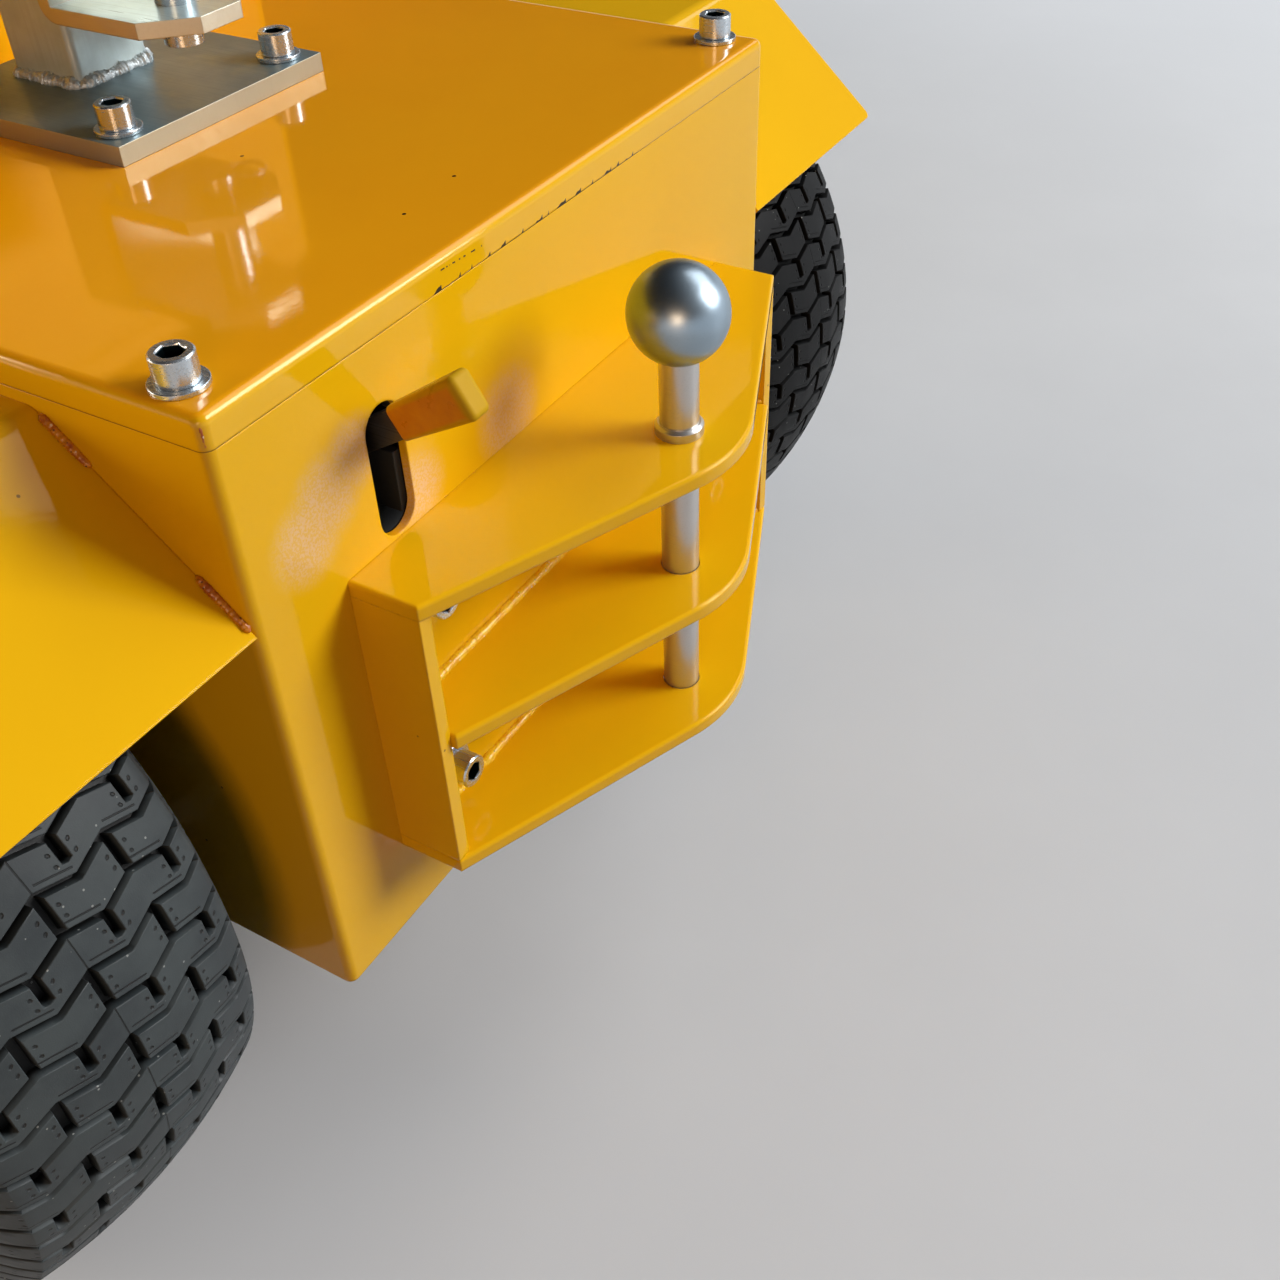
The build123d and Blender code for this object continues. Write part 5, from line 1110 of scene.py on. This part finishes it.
def socket_screws():
    """Socket screws with washers on the deck lid, the bracket's base plate and the hitch's back plate, and
    the dark cups in their sockets, as painted shade."""
    inset = BASE_SCREW_INSET
    wall = [(y, DECK - below) for y, below in
            corners(-HITCH_SCREW_SIDE, HITCH_SCREW_SIDE, *HITCH_SCREWS_BELOW)]
    lid = corners(REAR + LID_SCREW_AHEAD, HOOD - LID_SCREW_AHEAD, -LID_SCREW_SIDE, LID_SCREW_SIDE)
    base = corners(BASE_LOW.x + inset, BASE_HIGH.x - inset, BASE_LOW.y + inset, BASE_HIGH.y - inset)
    places = {
        "deck_lid_screws": [frame_at((x, y, DECK), UP, (1, 0.3, 0)) for x, y in lid],
        "base_plate_screws": [frame_at((x, y, BASE_HIGH.z), UP, (0.8, 0.5, 0)) for x, y in base],
        "hitch_screws": [frame_at((HITCH_FACE, y, z), (-1, 0, 0), (0, 0.4, 1)) for y, z in wall],
    }
    shade_cups = []
    for name, placings in places.items():
        shells = []
        for placing in placings:
            shells += cap_screw(placing)
            shade_cups.append(socket_shade_cup(placing))
        add_piece(name, shells, "chassis", PLATED)
    add_piece("socket_shade_cups", shade_cups, "chassis", SOCKET_SHADE)


def ring_places(centre, axis, radius, count, first=0.0):
    """Placings on a circle about an axis along X or Y, spaced evenly."""
    placings = []
    for i in range(count):
        angle = first + 2 * math.pi * i / count
        across, rise = radius * math.cos(angle), radius * math.sin(angle)
        offset = (across, 0, rise) if axis[1] else (0, across, rise)
        placings.append(frame_at(np.add(centre, offset), axis))
    return placings


def wheel_nuts(word, side):
    """Nuts on a wheel's studs, and the tyre's valve in the rim's dish."""
    disc = (WHEEL_X, side * (WHEEL_Y + RIM_DISC), TYRE_RADIUS)
    shells = []
    for placing in ring_places(disc, (0, side, 0), STUD_RING, STUDS):
        shells += hex_head(placing, *WHEEL_NUT)
    add_piece("wheel_nuts_" + word, shells, "drive_wheel_" + word, PLATED)
    foot = (WHEEL_X, side * (WHEEL_Y + VALVE_FOOT), TYRE_RADIUS)
    stem = scaled(((5.6, -2, 0), (5.6, 1, 0), (4.4, 2.5, 0), (3.4, 12, 0), (3.4, 15, 0), (4.2, 15.4, 0),
                   (4.2, 24, 0), (3.2, 25, 0)))
    placings = ring_places(foot, (0, side, 0), VALVE_RING, 1, VALVE_ANGLE)
    valve = [turned(stem, placing, 24) for placing in placings]
    add_piece("tyre_valve_" + word, valve, "drive_wheel_" + word, RUBBER)


def axle_bolts():
    """Hexagon bolts round the axle tubes' flanges and on the gear case's flange."""
    axle = []
    for _, side in SIDES:
        centre = (WHEEL_X, side * (HALF + AXLE_FLANGE), TYRE_RADIUS)
        for placing in ring_places(centre, (0, side, 0), AXLE_BOLT_RING, 6, math.pi / 6):
            axle += hex_head(placing, *AXLE_BOLT)
    for placing in ring_places((GEAR_FLANGE_X, 0, TYRE_RADIUS), (-1, 0, 0), GEAR_BOLT_RING, 6):
        axle += hex_head(placing, *GEAR_BOLT)
    add_piece("axle_bolts", axle, "chassis", PLATED)


def bracket_bolts():
    """Hexagon bolts with washers on the tiller's bracket."""
    bracket = []
    for y, rise in corners(-BRACKET_BOLT_SIDE, BRACKET_BOLT_SIDE, *BRACKET_BOLT_RISES):
        placing = frame_at((FRONT + BRACKET_PLATE, y, TILLER_PLACE[2] + rise), (1, 0, 0))
        bracket += [washer_ring(placing, *BRACKET_WASHER)] + hex_head(placing, *BRACKET_BOLT)
    add_piece("tiller_bracket_bolts", bracket, "chassis", PLATED)


def caster_bolts():
    """Hexagon bolts under the casters' plates."""
    casters = []
    for word, _ in SIDES:
        low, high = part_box("caster_plate_" + word)
        inset = CASTER_BOLT_INSET
        for x, y in corners(low.x + inset, high.x - inset, low.y + inset, high.y - inset):
            casters += hex_head(frame_at((x, y, CASTER_PLATE_UNDER), (0, 0, -1)), *CASTER_BOLT)
    add_piece("caster_bolts", casters, "chassis", PLATED)


def hinge_screws():
    """Button head screws on the hinges' fixed leaves."""
    low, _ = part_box("hood_hinges")
    buttons = []
    dome = scaled(((4.6, 0, 0), (4.6, 0.4, 0), (4.0, 1.5, 0), (2.6, 2.2, 0.2), (1.6, 2.2, 1), (1.6, 1.0, 1)))
    for side, shift in corners(-HINGE_SIDE, HINGE_SIDE, -HINGE_SCREW, HINGE_SCREW):
        placing = frame_at((HOOD - HINGE_LEAF, side + shift, low.z + HINGE_SCREW_RISE), (-1, 0, 0))
        buttons.append(turned(dome, placing, 24))
    add_piece("hinge_screws", buttons, "chassis", PLATED)


socket_screws()
axle_bolts()
bracket_bolts()
caster_bolts()
hinge_screws()
for word, side in SIDES:
    wheel_nuts(word, side)


# Weld beads

def hitch_welds():
    """Fillet beads below the upper two plates and above the lower two, along the back plate and both
    cheeks."""
    x = HITCH_FACE - 1 * MM
    half = HITCH_HIGH.y - HITCH_CHEEK
    shells = []
    for seed, (name, edge) in enumerate((("top", 0), ("middle", 0), ("middle", 1), ("bottom", 1))):
        low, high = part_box("hitch_plate_" + name)
        z = high.z + 0.6 * MM if edge else low.z - 0.6 * MM
        path = [(x, half - 2 * MM, z), (x, 2 * MM - half, z)]
        shells.append(weld_bead(path, HITCH_BEAD, seed, steps=0.03, lumps=0.1))
        for _, side in SIDES:
            y = side * (half - 0.8 * MM)
            shells.append(weld_bead([(HITCH_LOW.x + 1 * MM, y, z), (x, y, z)], CHEEK_BEAD, 10 + seed))
    add_piece("hitch_welds", shells, "chassis", HITCH_WELD_PAINTED_LIGHT, 70)


def post_welds():
    """Fine irregular bead round the post's foot, and the two that hold the clevis on it."""
    grow = 0.4 * MM
    x0, x1 = POST_LOW.x - grow, POST_HIGH.x + grow
    y0, y1 = POST_LOW.y - grow, POST_HIGH.y + grow
    z = POST_LOW.z + 0.8 * MM
    foot = [(x0, y0, z), (x1, y0, z), (x1, y1, z), (x0, y1, z), (x0, y0, z)]
    shells = [weld_bead(foot[i:i + 2], FOOT_BEAD, 20 + i, steps=0.06, lumps=0.13) for i in range(4)]
    for y in (POST_LOW.y + 1 * MM, POST_HIGH.y - 1 * MM):
        path = [(x0, y, CLEVIS_LOW.z + 10 * MM), (x0, y, CLEVIS_HIGH.z - 10 * MM)]
        shells.append(weld_bead(path, CLEVIS_BEAD, 30 + int(y > 0), (0, 1, 0)))
    add_piece("post_welds", shells, "chassis", ZINC_WELD, 70)


def fender_welds(word, side):
    """Stitches of bead in the corner between the side wall and the fender's rear slope."""
    low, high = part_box("fender_" + word)
    edge = DECK - FENDER_EDGE_BELOW
    rise = math.atan2(high.z - edge, FENDER_BEND)
    y = side * (HALF + 0.7 * MM)
    shells = []
    for seed, stitch in enumerate(FENDER_STITCHES):
        path = [(low.x + s * math.cos(rise), y, edge + s * math.sin(rise) + 1 * MM) for s in stitch]
        shells.append(weld_bead(path, FENDER_BEAD, 40 + seed))
    add_piece("fender_welds_" + word, shells, "chassis", YELLOW_WELD, 70)


def lid_corner_welds():
    """Thin ground bead down each rear corner of the lid's lips."""
    inset = LID_CORNER * (1 - math.sqrt(0.5)) + 0.5 * MM
    shells = []
    for _, side in SIDES:
        path = [(REAR + inset, side * (HALF - inset), z) for z in (SEAM + 1 * MM, DECK - 4 * MM)]
        shells.append(weld_bead(path, CORNER_BEAD, 50 + int(side > 0), (0, 1, 0)))
    add_piece("lid_corner_welds", shells, "chassis", YELLOW_WELD, 70)


hitch_welds()
post_welds()
lid_corner_welds()
for word, side in SIDES:
    fender_welds(word, side)


# Controls, handle and batteries

def pillow(placing, half_x, half_y, profile, squareness=4.0, segments=40):
    """Rounded block: a superellipse, |x / a|^n + |y / b|^n = 1, drawn in by the inset at each height of a
    profile of (height, inset) pairs."""
    angle = np.arange(segments) * 2 * math.pi / segments
    height, inset = (np.array(column)[:, None] for column in zip(*profile))
    power = 2 / squareness
    x = (half_x - inset) * np.sign(np.cos(angle)) * np.abs(np.cos(angle)) ** power
    y = (half_y - inset) * np.sign(np.sin(angle)) * np.abs(np.sin(angle)) ** power
    turn, place = placing
    return surface(np.stack([x, y, height + 0 * x], axis=-1) @ turn + place)


def loop_bar(placing, half_x, half_y, wire, steps=48):
    """Closed round bar bent to an ellipse: centre line (a cos t, b sin t, 0), thickened square to it."""
    t = np.arange(steps) * 2 * math.pi / steps
    line = np.stack([half_x * np.cos(t), half_y * np.sin(t), 0 * t], axis=-1)
    out = np.stack([half_y * np.cos(t), half_x * np.sin(t), 0 * t], axis=-1)
    out /= np.linalg.norm(out, axis=1)[:, None]
    a = np.arange(12) * 2 * math.pi / 12
    ring = line[:, None] + wire * (np.cos(a)[None, :, None] * out[:, None]
                                   + np.sin(a)[None, :, None] * np.array((0, 0, 1.0)))
    turn, place = placing
    return surface(ring @ turn + place, ring=True)


def on_slope(x, y, rise):
    """Placing on the hood's slope, from its middle."""
    return SLOPE_TURN, SLOPE_PLACE + np.array((x, y, rise)) @ SLOPE_TURN


def on_tiller(x, y, along):
    """Placing on the tiller, from its pivot."""
    return TILLER_TURN, TILLER_PLACE + np.array((x, y, along)) @ TILLER_TURN


def charge_meter():
    """Bezel, dial and domed cover of the charge meter, as turned profiles."""
    meter = (SLOPE_TURN, METER_PLACE)
    bezel = scaled(((24.0, -3, 0), (24.9, -2.4, 0), (24.9, 0.4, 0), (24.0, 1.4, 0), (22.0, 1.4, 0),
                    (21.2, 0.6, 0), (21.2, 0.1, 0)))
    add_piece("meter_bezel", [turned(bezel, meter)], "chassis", PLATED)
    plate = scaled(((21.1, 0.1, 0), (21.1, 0.3, 0)))
    add_piece("meter_dial", [turned(plate, meter)], "chassis", DIAL)
    dome = scaled(((21.2, 0.45, 0), (21.2, 0.7, 0), (19.0, 1.2, 0), (14.0, 1.7, 0), (8.0, 2.0, 0),
                   (1.0, 2.1, 0)))
    add_piece("meter_cover", [turned(dome, meter)], "chassis", COVER)


def ignition_key():
    """Key with a ring bow, standing in the collar of its switch."""
    turn, place = on_slope(0, KEY_SIDE, KEY_TOP)
    collar = scaled(((11.6, -3, 0), (11.6, 0.4, 0), (10.4, 1.2, 0), (6.0, 1.2, 0), (5.6, 0.8, 0)))
    upright = np.stack([turn[2], turn[0], turn[1]])
    bow = loop_bar((upright, place + KEY_BOW_RISE * turn[2]), *KEY_BOW)
    blade = pillow((turn, place), *KEY_BLADE, [(0, 0), (7.5 * MM, 0)])
    add_piece("ignition_key", [turned(collar, (turn, place)), bow, blade], "chassis", PLATED)


def ribbed_grips():
    """Grips on the bow: a row of equal ribs between two collars, as a profile turned about the bar."""
    ribs = [(16.2, 0, 0), (17.0, 0.8, 0), (17.0, 4, 0), (15.4, 5, 0)]
    for i in range(GRIP_RIBS):
        start = 5.5 + i * (GRIP_LENGTH / MM - 11) / GRIP_RIBS
        ribs += [(15.4, start, 0), (16.6, start + 0.8, 0), (16.6, start + 2.4, 0), (15.4, start + 3.2, 0)]
    end = GRIP_LENGTH / MM
    ribs += [(15.4, end - 5, 0), (17.0, end - 4, 0), (17.0, end - 0.8, 0), (16.2, end, 0)]
    grips = [turned(scaled(ribs), on_tiller(0, side * BAR_SIDE, GRIP_FOOT)) for _, side in SIDES]
    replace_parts(add_piece("ribbed_grips", grips, "tiller", RUBBER), "hand_grips")


def thumb_levers():
    """Flat rounded blocks that stand out from the head's sides."""
    levers = []
    lobe = [(-2.5 * MM, 1.5 * MM), (-1.5 * MM, 0), (5 * MM, 0), (8 * MM, 1.6 * MM), (9 * MM, 4.5 * MM)]
    for _, side in SIDES:
        turn, place = on_tiller(-4 * MM, side * (CROWN_HALF - 2 * MM), HEAD_TOP - THUMB_LEVER_BELOW)
        outward = np.stack([turn[2], side * turn[0], side * turn[1]])
        levers.append(pillow((outward, place), *THUMB_LEVER, lobe, 3.0))
    add_piece("thumb_levers", levers, "tiller", PLASTIC)


def signal_button():
    """Domed button in a collar, as a turned profile, on the head's rear face."""
    button = scaled(((9.5, -1, 0), (9.5, 1.2, 0), (8.6, 2, 0), (7.6, 2, 0), (7.6, 4.2, 0), (6.4, 5.6, 0),
                     (3, 6.2, 0)))
    turn, place = on_tiller(-HEAD_HALF_DEPTH + 4 * MM, 0, HEAD_TOP - SIGNAL_BELOW)
    facing = np.stack([turn[2], -turn[1], -turn[0]])
    add_piece("signal_button", [turned(button, (facing, place))], "tiller", RED)


def reversing_pad():
    """Rounded block on top of the head, which reverses the tractor when it is pushed."""
    pad = [(-1 * MM, 0), (4 * MM, 0), (7.5 * MM, 1.4 * MM), (9 * MM, 5 * MM)]
    block = pillow(on_tiller(0, 0, HEAD_TOP), *REVERSING_PAD, pad, 4.0)
    add_piece("reversing_pad", [block], "tiller", RED)


def battery_parts():
    """Filler caps and tapered terminal posts on top of the two batteries, as turned profiles."""
    low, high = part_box("battery_pack")
    cap = scaled(((15, -1, 0), (15, 3, 0), (14, 4.2, 0), (9, 4.2, 0), (8, 7, 0.3), (5, 7.4, 0.3)))
    post = scaled(((14, -1, 0), (14, 2.5, 0), (12.5, 3.2, 0), (9.2, 3.2, 0), (8.4, 17, 0), (7.6, 18, 0)))
    caps = []
    posts = []
    for _, side in SIDES:
        for i in range(BATTERY_CELLS):
            x = low.x + (high.x - low.x) * (i + 0.5) / BATTERY_CELLS
            caps.append(turned(cap, frame_at((x, side * high.y / 2, high.z), UP), 36))
        for x in (low.x + TERMINAL_INSET, high.x - TERMINAL_INSET):
            y = side * (high.y - TERMINAL_INSET)
            posts.append(turned(post, frame_at((x, y, high.z), UP), 36))
    add_piece("filler_caps", caps, "chassis", PLASTIC)
    add_piece("terminal_posts", posts, "chassis", ZINC_WELD)


charge_meter()
ignition_key()
ribbed_grips()
thumb_levers()
signal_button()
reversing_pad()
battery_parts()


# Floor, light and camera

def seen_ray(tree):
    """1 for rays that show the background: straight from the camera, mirrored, or passing through glass."""
    path = node(tree, "ShaderNodeLightPath").outputs
    seen = calc(tree, "ADD", path["Is Camera Ray"], path["Is Glossy Ray"])
    return calc(tree, "ADD", seen, path["Is Transmission Ray"], clamp=True)


def floor():
    """Plain pale floor, which throws back less light than it shows and stays pale far away, where no lamp
    reaches it."""
    mesh = bpy.data.meshes.new("floor")
    corner = corners(-FLOOR_HALF, FLOOR_HALF, -FLOOR_HALF, FLOOR_HALF)
    mesh.from_pydata([(x, y, 0) for x, y in corner], [], [[0, 2, 3, 1]])
    material, tree, shader = new_material("pale_floor")
    drift = use(tree, BLOTCHES, Scale=1.5, Low=0.3, High=0.7)["Mask"]
    pale = blend_colour(tree, drift, srgb(203, 207, 211), srgb(209, 213, 217))
    far = ramp(tree, distance(tree, (0, 0, 0)), *GLOW_REACH)
    pale = blend_colour(tree, far, pale, (0, 0, 0, 1))
    tree.links.new(blend_colour(tree, seen_ray(tree), FLOOR_BOUNCE, pale), shader["Base Color"])
    shader["Roughness"].default_value = 0.6
    shader["Emission Color"].default_value = PALE_SKY
    tree.links.new(calc(tree, "MULTIPLY", far, seen_ray(tree)), shader["Emission Strength"])
    mesh.materials.append(material)
    plane = bpy.data.objects.new("floor", mesh)
    bpy.context.scene.collection.objects.link(plane)


def area_light(name, target, direction, away, size, power, colour):
    """Rectangular softbox at a distance from its target, in the direction from which it shines."""
    lamp = bpy.data.lights.new(name, "AREA")
    lamp.shape = "RECTANGLE"
    lamp.size, lamp.size_y = size
    lamp.energy = power
    lamp.color = colour
    towards = Vector(direction).normalized()
    holder = bpy.data.objects.new(name, lamp)
    holder.location = Vector(target) + towards * away
    holder.rotation_euler = (-towards).to_track_quat("-Z", "Y").to_euler()
    bpy.context.scene.collection.objects.link(holder)


def world_light():
    """Dark room, brighter towards the key lamp. Mirrored and passed rays see a pale horizon too, and the
    camera sees pale sky all over."""
    world = bpy.data.worlds.new("studio")
    world.use_nodes = True
    tree = world.node_tree
    background = next(n for n in tree.nodes if n.type == "BACKGROUND")
    direction = node(tree, "ShaderNodeTexCoord").outputs["Generated"]
    height = node(tree, "ShaderNodeSeparateXYZ", {0: direction}).outputs[2]
    towards = node(tree, "ShaderNodeVectorMath", {0: direction, 1: KEY_DIRECTION}, operation="DOT_PRODUCT")
    room = blend_colour(tree, ramp(tree, towards.outputs["Value"], 0.2, 0.95), (0.02, 0.02, 0.022, 1),
                        (0.2, 0.205, 0.215, 1))
    sky = blend_colour(tree, ramp(tree, height, *HORIZON), PALE_SKY, room)
    shown = blend_colour(tree, seen_ray(tree), room, sky)
    straight = node(tree, "ShaderNodeLightPath").outputs["Is Camera Ray"]
    tree.links.new(blend_colour(tree, straight, shown, PALE_SKY), background.inputs["Color"])
    bpy.context.scene.world = world


def camera():
    """Camera at the photo's view: its right and up directions are given, and it looks along their cross
    product."""
    lens = bpy.data.cameras.new("photo_camera")
    lens.lens = CAMERA_LENS
    lens.sensor_width = 36
    holder = bpy.data.objects.new("photo_camera", lens)
    right = Vector(CAMERA_RIGHT).normalized()
    up = Vector(CAMERA_UP)
    up = (up - right * up.dot(right)).normalized()
    turn = Matrix((right, up, right.cross(up))).transposed().to_4x4()
    holder.matrix_world = Matrix.Translation(CAMERA_PLACE) @ turn
    bpy.context.scene.collection.objects.link(holder)
    bpy.context.scene.camera = holder


floor()
for lamp in LAMPS:
    area_light(*lamp)
world_light()
camera()
bpy.context.scene.view_settings.view_transform = "Standard"
